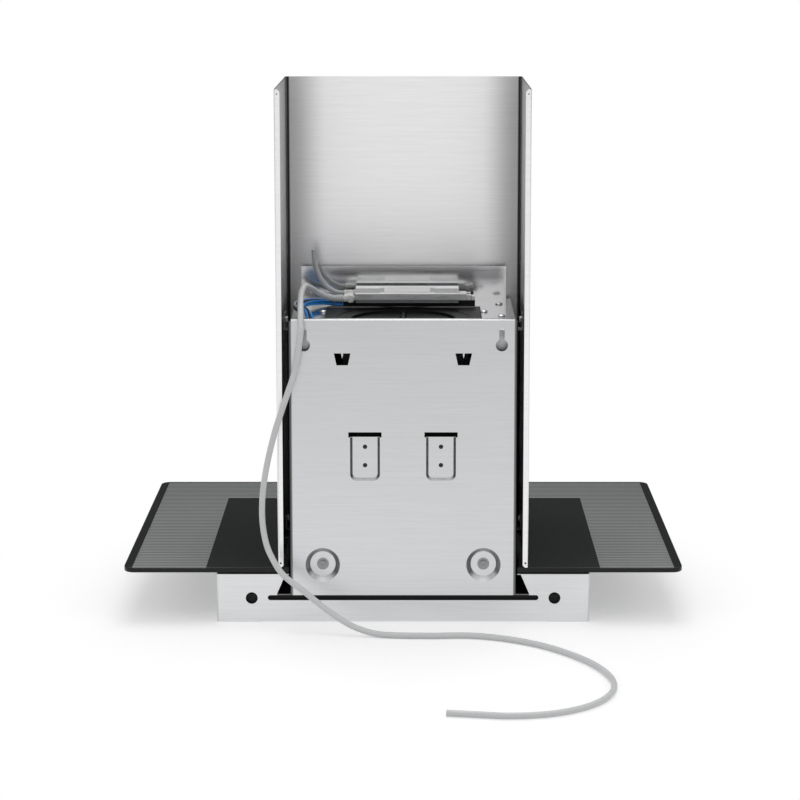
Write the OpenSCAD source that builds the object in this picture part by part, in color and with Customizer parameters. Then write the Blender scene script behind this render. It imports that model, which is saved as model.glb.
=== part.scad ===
// Wall mount range hood: glass visor, canopy, blower housing and chimney cover.
// Millimetres. The front faces -Y, the wall is at +Y, and the canopy stands on z = 0.
// A depth is measured from the wall plane towards the front.

/* [Glass visor] */
// Width of the glass
glass_w = 750; // [680:10:900]
// Depth of the glass from the wall to its front edge
glass_d = 500; // [460:10:560]
// Thickness of the glass
glass_t = 7; // [5:0.5:8]
// Radius of the glass corners
glass_r = 15; // [6:1:30]
// Thickness of the foam gasket under the glass
gasket_t = 2; // [1.5:0.5:4]
// Width of the foam gasket strip
gasket_w = 12; // [8:1:16]
// Radius of the stud discs bonded under the glass
stud_disc_r = 12; // [9:0.5:15]
// Radius of the threaded studs
stud_r = 2.5; // [2:0.5:3]
// Length of the threaded studs below their discs
stud_len = 14; // [10:1:20]

/* [Canopy] */
// Width of the canopy
canopy_w = 500; // [480:10:560]
// Depth of the canopy
canopy_d = 380; // [374:2:420]
// Height of the canopy
canopy_h = 66; // [62:1:80]
// Radius of the canopy's upright corners
canopy_r = 4; // [2:0.5:8]
// Sheet thickness of the canopy, its panels and the blower housing
sheet_t = 1.2; // [0.8:0.1:1.5]
// Width of the lip turned in along the canopy's lower edge
lip_w = 12; // [8:1:14]
// Height of the inner pan's top face
pan_z = 37; // [34:1:40]
// Space between the inner pan's front skirt and the canopy's front
pan_front_in = 72; // [68:1:76]
// Distance between the two round holes in the back wall
wall_hole_span = 406; // [396:2:430]
// Radius of the two round holes in the back wall
wall_hole_r = 8; // [5:0.5:9]
// Height of the two round holes
wall_hole_z = 33; // [30:1:40]
// Length of the slot in the back wall
slot_w = 363; // [350:1:370]
// Height of the slot in the back wall
slot_h = 7; // [5:0.5:9]
// Width of the notch above the slot, at the top
notch_top_w = 314; // [312:1:330]
// Width of the notch at its foot
notch_foot_w = 338; // [330:1:346]
// Width of the relief under the back wall
relief_w = 388; // [340:2:420]
// Height of the relief under the back wall
relief_h = 2; // [1:0.5:3]

/* [Blower housing] */
// Width of the housing
housing_w = 304; // [296:1:308]
// Depth of the housing
housing_d = 266; // [258:1:270]
// Height of the back plate
back_plate_h = 374.5; // [360:0.5:400]
// Outside radius of the housing's bends
bend_r = 4; // [2:0.5:6]
// Width of the feet turned out at the housing's lower edge
foot_w = 21; // [16:1:24]
// How far the top panel lies below the back plate's top edge
top_drop = 13.1; // [12:0.1:20]
// How far the front plate stands above the back plate's top edge
front_rise = 33.5; // [30:0.5:60]
// Width of the front plate above the top panel
front_upstand_w = 292; // [280:1:296]
// Depth of the lip along the back plate's top edge
top_lip = 10; // [7:1:14]
// Width of the flanges turned in along the side walls
side_flange = 13; // [11:0.5:16]
// Width of the flanges under the top panel
top_flange = 20; // [18:1:24]
// Distance between the keyholes
keyhole_span = 261; // [240:1:268]
// Height of the keyhole circles above the housing's foot
keyhole_rise = 340; // [320:1:344]
// Radius of the keyhole circles
keyhole_r = 8; // [6:0.5:9]
// Width of the keyhole slots
keyhole_slot = 7; // [5:0.5:8]
// Length of the keyhole slots above the circle's centre
keyhole_slot_len = 23; // [16:1:24]
// Distance between the hook windows
window_span = 160.5; // [150:0.5:180]
// Height of the hook windows
window_h = 16; // [12:1:20]
// Width of the hook windows at the top
window_w = 22; // [18:1:26]
// How much narrower the hook windows are at the foot
window_taper = 7; // [4:1:10]
// Height of the hook windows' foot above the housing's foot
window_rise = 313.3; // [300:0.1:316]
// Distance between the pressed hook pockets
pocket_span = 101; // [90:1:120]
// Width of the hook pockets
pocket_w = 42; // [34:1:48]
// Height of the hook pockets
pocket_h = 67; // [54:0.5:70]
// Depth of the hook pockets
pocket_deep = 4; // [2.5:0.5:6]
// Corner radius of the hook pockets
pocket_r = 10; // [6:0.5:14]
// Height of the slot at the top of each pocket
pocket_slot = 7; // [5:0.5:9]
// Height of the pockets' foot above the housing's foot
pocket_rise = 156; // [150:1:180]
// Distance between the pressed cups
cup_span = 215; // [200:1:230]
// Height of the cups' centre above the housing's foot
cup_rise = 42; // [38:1:60]
// Radius of the cups at the back plate
cup_r = 23; // [19:0.5:26]
// Radius of the cups' floor
cup_floor_r = 17; // [14:0.5:18]
// Depth of the cups
cup_deep = 6; // [4.5:0.5:8]

/* [Chimney cover] */
// Width of the chimney cover
chimney_w = 335; // [330:1:350]
// Depth of the chimney cover
chimney_d = 280; // [276:1:300]
// Height of the chimney cover above the glass
chimney_h = 639; // [560:1:900]
// Sheet thickness of the chimney cover
chimney_t = 1; // [0.8:0.1:1.5]
// Outside radius of the chimney's bends
chimney_r = 2.5; // [2:0.5:5]
// Width of the return flanges at the wall
return_w = 7.5; // [6:0.5:9]
// Chamfer at the ends of the return flanges
return_chamfer = 3; // [1:0.5:5]
// Width of the chimney brackets
bracket_w = 20; // [16:1:24]
// Height of the chimney brackets
bracket_h = 24; // [20:1:30]
// Depth of the chimney brackets' centre
bracket_depth = 200; // [150:5:230]

/* [Outlet and damper] */
// Width of the opening in the top panel
outlet_open_w = 214; // [196:1:216]
// Depth of the opening's front edge
outlet_open_front = 194; // [192:1:198]
// How far the outlet flange reaches under the top panel
outlet_margin = 8; // [7:0.5:9]
// Thickness of the outlet flange
outlet_flange_t = 2; // [1.5:0.5:2.5]
// Depth of the outlet's centre
outlet_depth = 100; // [99.5:0.5:101]
// Outside radius of the throat
throat_out_r = 74; // [70:0.5:76]
// Wall of the throat
throat_wall = 3; // [2:0.5:4]
// Length of the throat
throat_h = 19; // [17:1:22]
// Radius of the raised ring on the outlet flange
ring_r = 93.5; // [84:0.5:93.5]
// Width of the raised ring
ring_w = 2; // [1.5:0.1:4]
// Height of the raised ring
ring_h = 0.6; // [0.4:0.1:1]
// Radius of the damper pin
damper_pin_r = 2; // [1.5:0.5:2]
// Drop from the outlet flange's top to the damper pin
damper_drop = 4.5; // [4.5:0.5:7]
// Thickness of the damper flaps
flap_t = 1.6; // [1.2:0.1:2]

/* [Blower] */
// Axial length of the volute
volute_len = 156; // [154:1:158]
// Wall of the volute
volute_wall = 2; // [1.5:0.5:3]
// Offset of the fan axis to the left of the hood's centre
fan_x = 42; // [38:1:44]
// Height of the fan axis above the housing's foot
fan_rise = 148; // [140:1:156]
// Outside radius of the impeller
impeller_r = 76; // [66:1:78]
// Radial depth of the impeller blades
blade_deep = 13; // [9:1:14]
// Number of impeller blades
blade_count = 32; // [24:1:40]
// Thickness of an impeller blade
blade_t = 1; // [0.8:0.1:1.4]
// Axial length of the impeller
impeller_len = 128; // [110:1:132]
// Radius of the motor shell
motor_r = 46; // [38:1:48]
// Length of the motor shell
motor_len = 70; // [60:1:76]
// Radius of the motor shaft
shaft_r = 4; // [3:0.5:5]
// Radius of the capacitor
capacitor_r = 17; // [14:0.5:20]
// Height of the capacitor
capacitor_h = 70; // [55:1:80]

/* [Underside] */
// Space between a grease filter and the canopy's side
filter_side_in = 24; // [22:1:40]
// Space between the grease filters and the canopy's front
filter_front_in = 80; // [78:1:100]
// Thickness of a grease filter
filter_t = 9; // [7:0.5:12]
// Width of the filter frame's rails
filter_rail = 12; // [9:1:16]
// Thickness of the filter mesh
mesh_t = 5; // [3:0.5:5.5]
// Depth of the filters' rear edge
filter_back = 18; // [16:1:20]
// Space between the two filters
filter_gap = 8; // [6:1:12]
// Travel of a filter latch
latch_travel = 5; // [4:0.5:6]
// Distance from the canopy's sides to the lamps' centres
lamp_side_in = 50; // [42:1:70]
// Distance from the canopy's front to the lamps' centres
lamp_front_in = 42; // [40:1:44]
// Radius of a lamp bezel
lamp_r = 25; // [22:0.5:26]
// Radius of a lamp lens
lamp_lens_r = 18; // [14:0.5:19]
// Height of a lamp body
lamp_h = 20; // [14:1:28]

/* [Controls] */
// Width of the button bezel
bezel_w = 150; // [146:2:180]
// Height of the button bezel
bezel_h = 30; // [28:1:34]
// Height of the bezel's centre
bezel_z = 36; // [30:1:38]
// Thickness of the bezel in front of the canopy
bezel_t = 2; // [1.5:0.5:3]
// Radius of a push button
button_r = 7; // [5:0.5:7.5]
// Distance between push buttons
button_pitch = 24; // [20:1:24]
// How far a button stands out of the bezel
button_out = 3; // [2.5:0.5:5]
// Travel of a push button
button_travel = 2.5; // [1.5:0.5:2.5]

/* [Control box] */
// Width of the control box
box_w = 146; // [130:1:160]
// Depth of the control box
box_d = 78; // [60:1:82]
// Depth of the control box's rear face
box_back = 172.4; // [172.4:0.1:176]
// Height of the control box with its lid
box_h = 11.5; // [11:0.5:18]
// Offset of the control box to the right of the hood's centre
box_x = 5; // [0:0.5:8]
// Height of the base under the control box
base_h = 8; // [8:0.5:12]
// How far the base reaches beyond the left end of the control box
base_left = 16; // [10:1:20]
// How far the base reaches beyond the right end of the control box
base_right = 22; // [10:1:24]
// Length of the ribbed cord glands
gland_len = 16; // [12:0.5:16]
// Radius of the ribbed cord glands
gland_r = 5; // [5:0.5:6.5]

/* [Cords] */
// Diameter of the supply cord
cord_dia = 8; // [6:0.5:8]
// Diameter of the short second lead
lead_dia = 7; // [5:0.5:7]
// Diameter of the single wires
wire_dia = 3.2; // [2:0.2:3.4]

/* [Clearances] */
// Clearance between pieces that fit into each other
fit_gap = 0.3; // [0.2:0.05:0.4]
// Running clearance of pins and shafts
run_gap = 0.05; // [0.03:0.01:0.08]
// Clearance round a filter in its opening
filter_clear = 1.4; // [1.2:0.1:1.6]

/* [Hidden] */
$fn = 64;
cut = 1; // how far a cut runs past a face

// Heights that follow from the stack of canopy, gasket, glass and housing
wall_y = glass_d / 2;
glass_z = canopy_h + gasket_t;
glass_top = glass_z + glass_t;
housing_top_z = pan_z + back_plate_h;
panel_top_z = housing_top_z - top_drop;
front_top_z = housing_top_z + front_rise;
chimney_top_z = glass_top + chimney_h;

// The opening in glass, gasket and canopy that the housing stands in
pass_gap = 1.2;
pass_w = housing_w + 2 * pass_gap;
pass_d = housing_d + pass_gap;

// Glass studs and their nuts
stud_side_in = 35;
stud_front_in = 50;
stud_rear_depth = 60;
stud_x = canopy_w / 2 - stud_side_in;
stud_depths = [stud_rear_depth, canopy_d - stud_front_in];
nut_r = 1.85 * stud_r;
nut_h = 1.6 * stud_r;

// Housing details
rivet_r = 3;
rivet_rises = [21.5, 46.5];
hook_plate_t = 1.5;
tab_drop = 7;
screen_depth = 13;
screen_foot_z = 362;
screen_h = 34;
screen_in = 116;
foot_gap = 1;
panel_back = bend_r + 1.5;
wrap_d = housing_d - sheet_t;
panel_screw_in = 18;
panel_screw_x = housing_w / 2 - panel_screw_in;
panel_screw_depths = [108.5, 213];
lip_bend = 2.5;
screw_head_r = 5;
screw_head_h = 2.6;
screw_r = 2;
cup_screw_r = 8;
cup_hole_r = 3.4;

// Grommet that leads the wires into the housing
grommet_x = 128;
grommet_depth = 62;
grommet_r = 13;
grommet_wall = 2;
grommet_h = 2.5;

// Outlet and damper
flange_top_z = panel_top_z - sheet_t;
throat_z = flange_top_z - throat_h;
throat_r = throat_out_r - throat_wall;
flap_r = throat_r - 2 * fit_gap;
damper_z = flange_top_z - damper_drop;
knuckle_r = damper_pin_r + 1.8;
knuckle_len = 20;
knuckle_starts = [-52, 8];
seat_w = 4;
seat_t = 1.5;
collar_screw_x = (outlet_open_w + outlet_margin) / 2;
collar_screw_half = 45;
collar_screw_depths = [outlet_depth - collar_screw_half, outlet_depth + collar_screw_half];
spacer_r = 5;

// Volute: a spiral round the fan axis that opens into an upright neck
fan_z = pan_z + fan_rise;
volute_back = outlet_depth - volute_len / 2;
volute_front = volute_back + volute_len;
neck_half = throat_out_r + 6;
neck_top_z = throat_z + 2;
neck_plate_t = 2;
tongue_angle = 55;
spiral_sweep = 235;
spiral_steps = 40;
tongue_r = impeller_r + 8;
spiral_end_r = fan_x + neck_half;
neck_joint_rise = 105;
neck_joint_z = fan_z + neck_joint_rise;
inlet_r = impeller_r - blade_deep - 1;
inlet_lip = 8;

// Motor and shaft
motor_back = volute_back - 12;
motor_flange_r = motor_r + 12;
motor_flange_t = 3;
motor_bore_start = 32;
bearing_r = 2.3 * shaft_r;
bearing_len = 6;
bearing_starts = [motor_bore_start + 2, motor_len - bearing_len - 2];
impeller_in = 14;
impeller_back = volute_back + impeller_in;
hub_web_depth = motor_back + motor_len + 12;
hub_r = 11;
hub_len = 16;
web_t = 2;
shaft_end = hub_web_depth + hub_len / 2 + 8;
motor_screw_r = 2;

// Capacitor and its clip
capacitor_x = -112;
capacitor_z = 255;
clip_t = 1.4;
clip_h = 14;
capacitor_depth = wrap_d - clip_t - capacitor_r - fit_gap;

// Underside
underside_z = sheet_t;
pan_front = canopy_d - pan_front_in;
filter_w = (canopy_w - filter_gap) / 2 - filter_side_in;
filter_x = filter_gap / 2 + filter_w / 2;
filter_front = canopy_d - filter_front_in;
filter_l = filter_front - filter_back;
mesh_groove = 4;
tab_w = 20;
tab_len = 6;
latch_w = 27;
latch_l = 12;
latch_h = 4.4;
tongue_w = 8;
tongue_h = 2.4;
tongue_len = 4;
latch_pad_w = 44;
latch_pad_l = latch_l + latch_travel + 9;
latch_floor = 1.2;
thumb_w = 20;

// Lamps
lamp_span = canopy_w - 2 * lamp_side_in;
lamp_depth = canopy_d - lamp_front_in;
lamp_flange_t = 1;
lamp_lens_t = 1.6;
lamp_body_r = lamp_lens_r + 1.5;

// Controls
canopy_front = canopy_d;
window_in = 2.7;
bezel_skirt = 8;
bezel_wall = 2;
button_collar = 1.5;
button_collar_t = 2;
button_stem_r = 3;
button_chamfer = 0.8;
board_depth_in = 14;
board_t = 1.6;
switch_h = 4;
post_r = 2.5;
button_shift = [-2, -1, 0, 1, 2];
bezel_inner_w = bezel_w - 2 * window_in - 2 * fit_gap;
bezel_inner_h = bezel_h - 2 * window_in - 2 * fit_gap;
stem_len = board_depth_in - switch_h - button_travel - fit_gap;

// Chimney brackets, above the glass
bracket_rises = [3, 290];

// Control box
box_z = panel_top_z + base_h;
box_wall = 1.5;
lid_skirt = 6;
lid_t = 1.2;
lid_rib_w = 5;
lid_rib_h = 1.2;
lid_centre_w = 76;
gland_rib = 1.4;
gland_depths = [180, 232];
gland_z = box_z + 5.3;
box_end_x = box_w / 2 - box_x;
base_back = outlet_open_front + 2;
base_wall = 2;

// Points of the supply cord's middle line, from the gland to the bare end
cord_route = [
    [84, 70, 411.7], [96, 70, 411.7], [107, 71, 414.7], [118, 76, 420.7],
    [126.4, 88, 428.2], [134.5, 127, 437.5], [137, 178, 436], [136, 224, 430.8],
    [135.2, 239, 425.8], [134.6, 251, 418.5], [134.3, 260, 407.5], [134.3, 264.5, 394.5],
    [141.5, 265.5, 348], [156.5, 267, 302], [170.3, 269, 259.5], [182.5, 270, 204.7],
    [186.5, 273, 157], [182.1, 278, 119.6], [172, 283, 95], [157.5, 289, 75],
    [130, 298, 55.3], [99.5, 306, 32.6], [69.1, 314, 14.7], [39, 320, 5.6],
    [8.6, 325, 4.2], [-37, 327, 4.2], [-82, 325.5, 4.2], [-115.4, 332.8, 4.2],
    [-148.1, 347.7, 4.2], [-180.1, 370, 4.2], [-211.1, 402.9, 4.2], [-236, 440, 4.2],
    [-252, 477, 4.2], [-260, 518, 4.2], [-256, 557, 4.2], [-240, 592, 4.2],
    [-212, 621, 4.2], [-172, 641, 4.2], [-120, 647, 4.2], [-53, 636.5, 4.2]
];

// Points of the short second lead, from its gland to the bare end
lead_route = [
    [84, 18, 411.7], [90.5, 18, 411.9], [100, 18, 415], [108.7, 18, 421.2], [115.8, 18, 430],
    [121, 18, 440.6], [124.4, 18, 452], [126, 18, 463], [126.4, 18, 473.5]
];

// Points that the bundle of wires follows from the base to the grommet
wire_route = [
    [84, 46, 402.4], [92, 46, 402.4], [104, 50, 404], [118, 60, 406.3],
    [130, 77, 408.3], [138, 98, 409.9], [142, 122, 410.9], [141.5, 146, 411.4],
    [137, 163, 410.9], [131.5, 176, 408.9], [128.6, 184, 403.9], [128, 187.3, 396.4],
    [128, 188, 384.4], [128, 188, 368.4]
];

// The wires leave the base in two rows of four and meet the grommet in a circle
wire_pitch = 5;
wire_row_h = 4;
wire_circle_r = 5.2;
blue_slots = [0, 2, 4, 5];
dark_slots = [1, 7];
light_slots = [3];
earth_slots = [6];

// The y of a point at a depth in front of the wall
function back(depth) = wall_y - depth;

function unit(v) = v / norm(v);

// One coordinate or point on the smooth curve through four points
function curve_at(a, b, c, d, t) =
    0.5 * (2 * b + (c - a) * t + (2 * a - 5 * b + 4 * c - d) * t * t
    + (3 * b - a - 3 * c + d) * t * t * t);

// A route with one more point in the middle of each stretch, its end stretches straight
function smooth(p) = let (n = len(p)) concat(
    [for (i = [0 : n - 2], t = [0, 0.5])
        i == 0 || i == n - 2 ? p[i] + t * (p[i + 1] - p[i])
        : curve_at(p[i - 1], p[i], p[i + 1], p[i + 2], t)],
    [p[n - 1]]);

// Directions along a route
function headings(p) = let (n = len(p))
    [for (i = [0 : n - 1]) unit(p[min(i + 1, n - 1)] - p[max(i - 1, 0)])];

// The first side direction, square to a heading
function first_side(h) = unit(cross(h, abs(h.z) > 0.8 ? [0, 1, 0] : [0, 0, 1]));

// Side directions carried along the headings without twist
function sides(h) = let (n = len(h))
    [for (i = 0, s = first_side(h[0]); i < n;
        s = i + 1 < n ? unit(s - (s * h[i + 1]) * h[i + 1]) : s, i = i + 1) s];

// A round tube swept along a route
module tube(route, dia, facets) {
    h = headings(route);
    s = sides(h);
    n = len(route);
    rings = [for (i = [0 : n - 1], k = [0 : facets - 1])
        let (a = 360 * k / facets)
        route[i] + dia / 2 * (cos(a) * s[i] + sin(a) * cross(h[i], s[i]))];
    walls = [for (i = [0 : n - 2], k = [0 : facets - 1], side = [0, 1])
        let (a = i * facets + k, b = i * facets + (k + 1) % facets)
        side == 0 ? [a, a + facets, b] : [b, a + facets, b + facets]];
    start_cap = [for (k = [1 : facets - 2]) [0, k, k + 1]];
    last = (n - 1) * facets;
    end_cap = [for (k = [1 : facets - 2]) [last, last + k + 1, last + k]];
    polyhedron(rings, concat(walls, start_cap, end_cap));
}

// A route moved across and upwards, by an offset that changes evenly between its end stretches
function beside(p, from, to) = let (h = headings(p), s = sides(h), n = len(p))
    [for (i = [0 : n - 1])
        let (share = min(max((i - 1) / (n - 3), 0), 1), offset = from + (to - from) * share)
        p[i] + offset.x * s[i] + offset.y * unit(cross(s[i], h[i]))];

// Where a wire starts in the two rows, and where it ends on the circle
function row_place(slot) =
    [wire_pitch * (slot % 4 - 1.5), wire_row_h / 2 * (slot < 4 ? 1 : -1)];
function circle_place(slot) =
    let (a = (slot < 4 ? 1 : -1) * (157.5 - 45 * (slot % 4))) wire_circle_r * [cos(a), sin(a)];

// A flat rectangle with round corners, centred
module round_rect(w, d, r) {
    square([w - 2 * r, d], center = true);
    square([w, d - 2 * r], center = true);
    for (sx = [-1, 1], sy = [-1, 1])
        translate([sx * (w / 2 - r), sy * (d / 2 - r)]) circle(r);
}

// A slab with round upright corners, its rear edge at a depth
module round_slab(w, depth, d, h, r, z) {
    translate([0, back(depth + d / 2), z]) linear_extrude(h) round_rect(w, d, r);
}

// A box centred on x, given by depths and heights
module deep_box(w, depth, d, z, h, x = 0) {
    translate([x - w / 2, back(depth + d), z]) cube([w, d, h]);
}

// Children drawn as seen from the front and extruded into the hood from a depth
module at_depth(depth, x = 0, z = 0) {
    translate([x, back(depth), z]) rotate([90, 0, 0]) children();
}

// A ring that stands along local z
module ring(r_out, r_in, h) {
    difference() {
        cylinder(h = h, r = r_out);
        translate([0, 0, -cut]) cylinder(h = h + 2 * cut, r = r_in);
    }
}

// A pan head screw, its head above local z = 0
module pan_screw(head_r, head_h, shank_r, shank_len) {
    cylinder(h = head_h * 0.5, r = head_r);
    translate([0, 0, head_h * 0.5]) cylinder(h = head_h * 0.5, r1 = head_r, r2 = head_r * 0.6);
    translate([0, 0, -shank_len]) cylinder(h = shank_len + 0.5, r = shank_r);
}

// Two copies, left and right of the centre
module both_sides(x) {
    for (side = [-1, 1]) translate([side * x, 0, 0]) children();
}

// Canopy

module housing_pass(z, h) {
    deep_box(pass_w, -cut, pass_d + cut, z, h);
}

module slot_outline() {
    square([slot_w - slot_h, slot_h], center = true);
    for (side = [-1, 1]) translate([side * (slot_w - slot_h) / 2, 0]) circle(slot_h / 2);
}

module notch_outline() {
    foot = pan_z + sheet_t + 0.8;
    polygon([
        [-notch_foot_w / 2, pan_z - slot_h / 2], [notch_foot_w / 2, pan_z - slot_h / 2],
        [notch_foot_w / 2, foot], [notch_top_w / 2, canopy_h + cut],
        [-notch_top_w / 2, canopy_h + cut], [-notch_foot_w / 2, foot]
    ]);
}

module canopy_shell() color([0.78, 0.79, 0.80]) difference() {
    round_slab(canopy_w, 0, canopy_d, canopy_h, canopy_r, 0);
    round_slab(canopy_w - 2 * sheet_t, sheet_t, canopy_d - 2 * sheet_t,
        canopy_h - 2 * sheet_t, canopy_r - sheet_t, sheet_t);
    deep_box(canopy_w - 2 * lip_w, lip_w, canopy_d - 2 * lip_w, -cut, sheet_t + 2 * cut);
    housing_pass(canopy_h - 2 * sheet_t, 2 * sheet_t + cut);
    at_depth(-cut) linear_extrude(sheet_t + 2 * cut) notch_outline();
    at_depth(-cut, 0, pan_z - slot_h / 2) linear_extrude(sheet_t + 2 * cut) slot_outline();
    both_sides(wall_hole_span / 2) at_depth(-cut, 0, wall_hole_z)
        cylinder(h = sheet_t + 2 * cut, r = wall_hole_r);
    deep_box(relief_w, -cut, lip_w + 2 * cut, -cut, relief_h + cut);
    for (depth = stud_depths) both_sides(stud_x)
        translate([0, back(depth), canopy_h - 2 * sheet_t])
            cylinder(h = 3 * sheet_t, r = stud_r + 0.6);
    deep_box(bezel_w - 2 * window_in, canopy_front - 2 * sheet_t, 4 * sheet_t,
        bezel_z - bezel_h / 2 + window_in, bezel_h - 2 * window_in);
}

// Underside

module filter_pair_cut() {
    for (side = [-1, 1])
        deep_box(filter_w + 2 * filter_clear, filter_back - filter_clear,
            filter_l + 2 * filter_clear, underside_z - cut, sheet_t + 2 * cut,
            side * filter_x);
}

module underside_panel() color([0.80, 0.81, 0.82]) difference() {
    round_slab(canopy_w - 2 * sheet_t - 2 * fit_gap, sheet_t + fit_gap,
        canopy_d - 2 * sheet_t - 2 * fit_gap, sheet_t, canopy_r - sheet_t, underside_z);
    filter_pair_cut();
    for (side = [-1, 1])
        deep_box(tongue_w + 2, filter_front, tongue_len + 3, underside_z - cut,
            sheet_t + 2 * cut, side * filter_x);
    both_sides(lamp_span / 2) translate([0, back(lamp_depth), underside_z - cut])
        cylinder(h = sheet_t + 2 * cut, r = lamp_body_r + fit_gap);
}

module inner_pan() color([0.72, 0.73, 0.74]) difference() {
    pan_w = canopy_w - 2 * sheet_t - 2 * fit_gap;
    pan_back = 6;
    pan_foot = underside_z + sheet_t;
    deep_box(pan_w, pan_back, pan_front - pan_back, pan_foot, pan_z - pan_foot);
    deep_box(pan_w - 2 * sheet_t, pan_back + sheet_t, pan_front - pan_back - 2 * sheet_t,
        pan_foot - cut, pan_z - pan_foot - sheet_t + cut);
    deep_box(housing_w - 2 * side_flange, pan_back + sheet_t + 2,
        housing_d - pan_back - sheet_t - 6, pan_z - 2 * sheet_t, 3 * sheet_t);
}

module filter_frame(x) translate([x, 0, 0]) color([0.70, 0.71, 0.72]) {
    difference() {
        union() {
            difference() {
                deep_box(filter_w, filter_back, filter_l, underside_z, filter_t);
                deep_box(filter_w - 2 * filter_rail, filter_back + filter_rail,
                    filter_l - 2 * filter_rail, underside_z - cut, filter_t + 2 * cut);
            }
            for (share = [1 / 3, 2 / 3])
                deep_box(filter_w - 2 * filter_rail, filter_back + filter_l * share - 3, 6,
                    underside_z, sheet_t);
            deep_box(latch_pad_w, filter_front - latch_pad_l, latch_pad_l, underside_z, filter_t);
        }
        mesh_space(fit_gap / 2);
        latch_space();
    }
    for (side = [-1, 1])
        deep_box(tab_w, filter_back - tab_len, tab_len + 2, underside_z + sheet_t + fit_gap,
            1.5, side * filter_w / 3);
}

module mesh_space(gap) {
    difference() {
        deep_box(filter_w - 2 * filter_rail + 2 * mesh_groove + 2 * gap,
            filter_back + filter_rail - mesh_groove - gap,
            filter_l - 2 * filter_rail + 2 * mesh_groove + 2 * gap,
            underside_z + (filter_t - mesh_t) / 2 - gap, mesh_t + 2 * gap);
        deep_box(latch_pad_w + 2 - 2 * gap, filter_front - latch_pad_l - 1 + gap,
            latch_pad_l + cut, underside_z - cut, filter_t + 2 * cut);
    }
}

module latch_space() {
    slide_z = underside_z + latch_floor + fit_gap;
    deep_box(latch_w + 2 * fit_gap, filter_front - 4 - latch_l - latch_travel - 2 * fit_gap,
        latch_l + latch_travel + 3 * fit_gap, underside_z + latch_floor, latch_h + 2 * fit_gap);
    deep_box(thumb_w, filter_front - 4 - latch_l - latch_travel, latch_l + latch_travel,
        underside_z - cut, latch_floor + 2 * cut);
    deep_box(tongue_w + 2 * fit_gap, filter_front - 6, 6 + cut,
        slide_z + (latch_h - tongue_h) / 2 - fit_gap, tongue_h + 2 * fit_gap);
}

module filter_mesh(x) translate([x, 0, 0]) color([0.62, 0.63, 0.64]) mesh_space(0);

module filter_latch(x) translate([x, 0, 0]) color([0.15, 0.15, 0.16]) {
    slide_z = underside_z + latch_floor + fit_gap;
    slide_front = filter_front - 4;
    difference() {
        deep_box(latch_w, slide_front - latch_l, latch_l, slide_z, latch_h);
        deep_box(thumb_w - 6, slide_front - latch_l + 3, latch_l - 6, slide_z - cut, 2 + cut);
    }
    deep_box(tongue_w, slide_front - 1, tongue_len + 5,
        slide_z + (latch_h - tongue_h) / 2, tongue_h);
}

module lamp_bezels() color([0.82, 0.83, 0.84]) both_sides(lamp_span / 2)
    translate([0, back(lamp_depth), underside_z - lamp_flange_t])
        ring(lamp_r, lamp_lens_r + fit_gap, lamp_flange_t);

module lamp_lenses() color([0.95, 0.95, 0.90]) both_sides(lamp_span / 2)
    translate([0, back(lamp_depth), underside_z - lamp_flange_t + 0.2])
        cylinder(h = lamp_lens_t, r = lamp_lens_r);

module lamp_bodies() color([0.30, 0.31, 0.32]) both_sides(lamp_span / 2)
    translate([0, back(lamp_depth), underside_z]) difference() {
        cylinder(h = lamp_h, r = lamp_body_r);
        translate([0, 0, -cut]) cylinder(h = cut + lamp_lens_t, r = lamp_lens_r + fit_gap);
        for (share = [0.35, 0.55, 0.75])
            translate([0, 0, lamp_h * share]) ring(lamp_body_r + cut, lamp_body_r - 2.5, 1.6);
    }

// Controls

module bezel_at(depth_out) {
    at_depth(canopy_front + depth_out, 0, bezel_z) children();
}

module button_bezel() color([0.12, 0.12, 0.13]) difference() {
    union() {
        bezel_at(0) linear_extrude(bezel_t) round_rect(bezel_w, bezel_h, 4);
        difference() {
            bezel_at(-bezel_skirt) linear_extrude(bezel_skirt + 0.5)
                square([bezel_inner_w, bezel_inner_h], center = true);
            bezel_at(-bezel_skirt - cut) linear_extrude(bezel_skirt + cut)
                square([bezel_inner_w - 2 * bezel_wall, bezel_inner_h - 2 * bezel_wall], center = true);
        }
        for (side = [-1, 1]) bezel_at(-board_depth_in)
            translate([side * (bezel_inner_w / 2 - post_r - bezel_wall - 0.5), 0, 0])
                cylinder(h = board_depth_in + 0.5, r = post_r);
    }
    for (k = button_shift) bezel_at(-cut) translate([k * button_pitch, 0, 0])
        cylinder(h = bezel_t + 2 * cut, r = button_r + fit_gap / 2);
}

module push_button(k) color([0.62, 0.63, 0.65]) bezel_at(0)
    translate([k * button_pitch, 0, -fit_gap / 2]) {
        straight = bezel_t + button_out + fit_gap / 2 - button_chamfer;
        translate([0, 0, -1]) cylinder(h = straight + 1, r = button_r);
        translate([0, 0, straight])
            cylinder(h = button_chamfer, r1 = button_r, r2 = button_r - button_chamfer);
        translate([0, 0, -button_collar_t]) cylinder(h = button_collar_t, r = button_r + button_collar);
        translate([0, 0, fit_gap / 2 - stem_len]) cylinder(h = stem_len, r = button_stem_r);
    }

module switch_board() color([0.10, 0.35, 0.20]) bezel_at(-board_depth_in) {
    translate([0, 0, -board_t]) linear_extrude(board_t)
        square([bezel_inner_w - 2 * bezel_wall - 1, bezel_h - 12], center = true);
    for (k = button_shift) translate([k * button_pitch, 0, 0]) {
        translate([-4, -4, -0.2]) cube([8, 8, switch_h * 0.7 + 0.2]);
        cylinder(h = switch_h, r = 1.8);
    }
}

// Glass

module glass_visor() color([0.10, 0.11, 0.12, 0.8]) difference() {
    round_slab(glass_w, 0, glass_d, glass_t, glass_r, glass_z);
    housing_pass(glass_z - cut, glass_t + 2 * cut);
}

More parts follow.
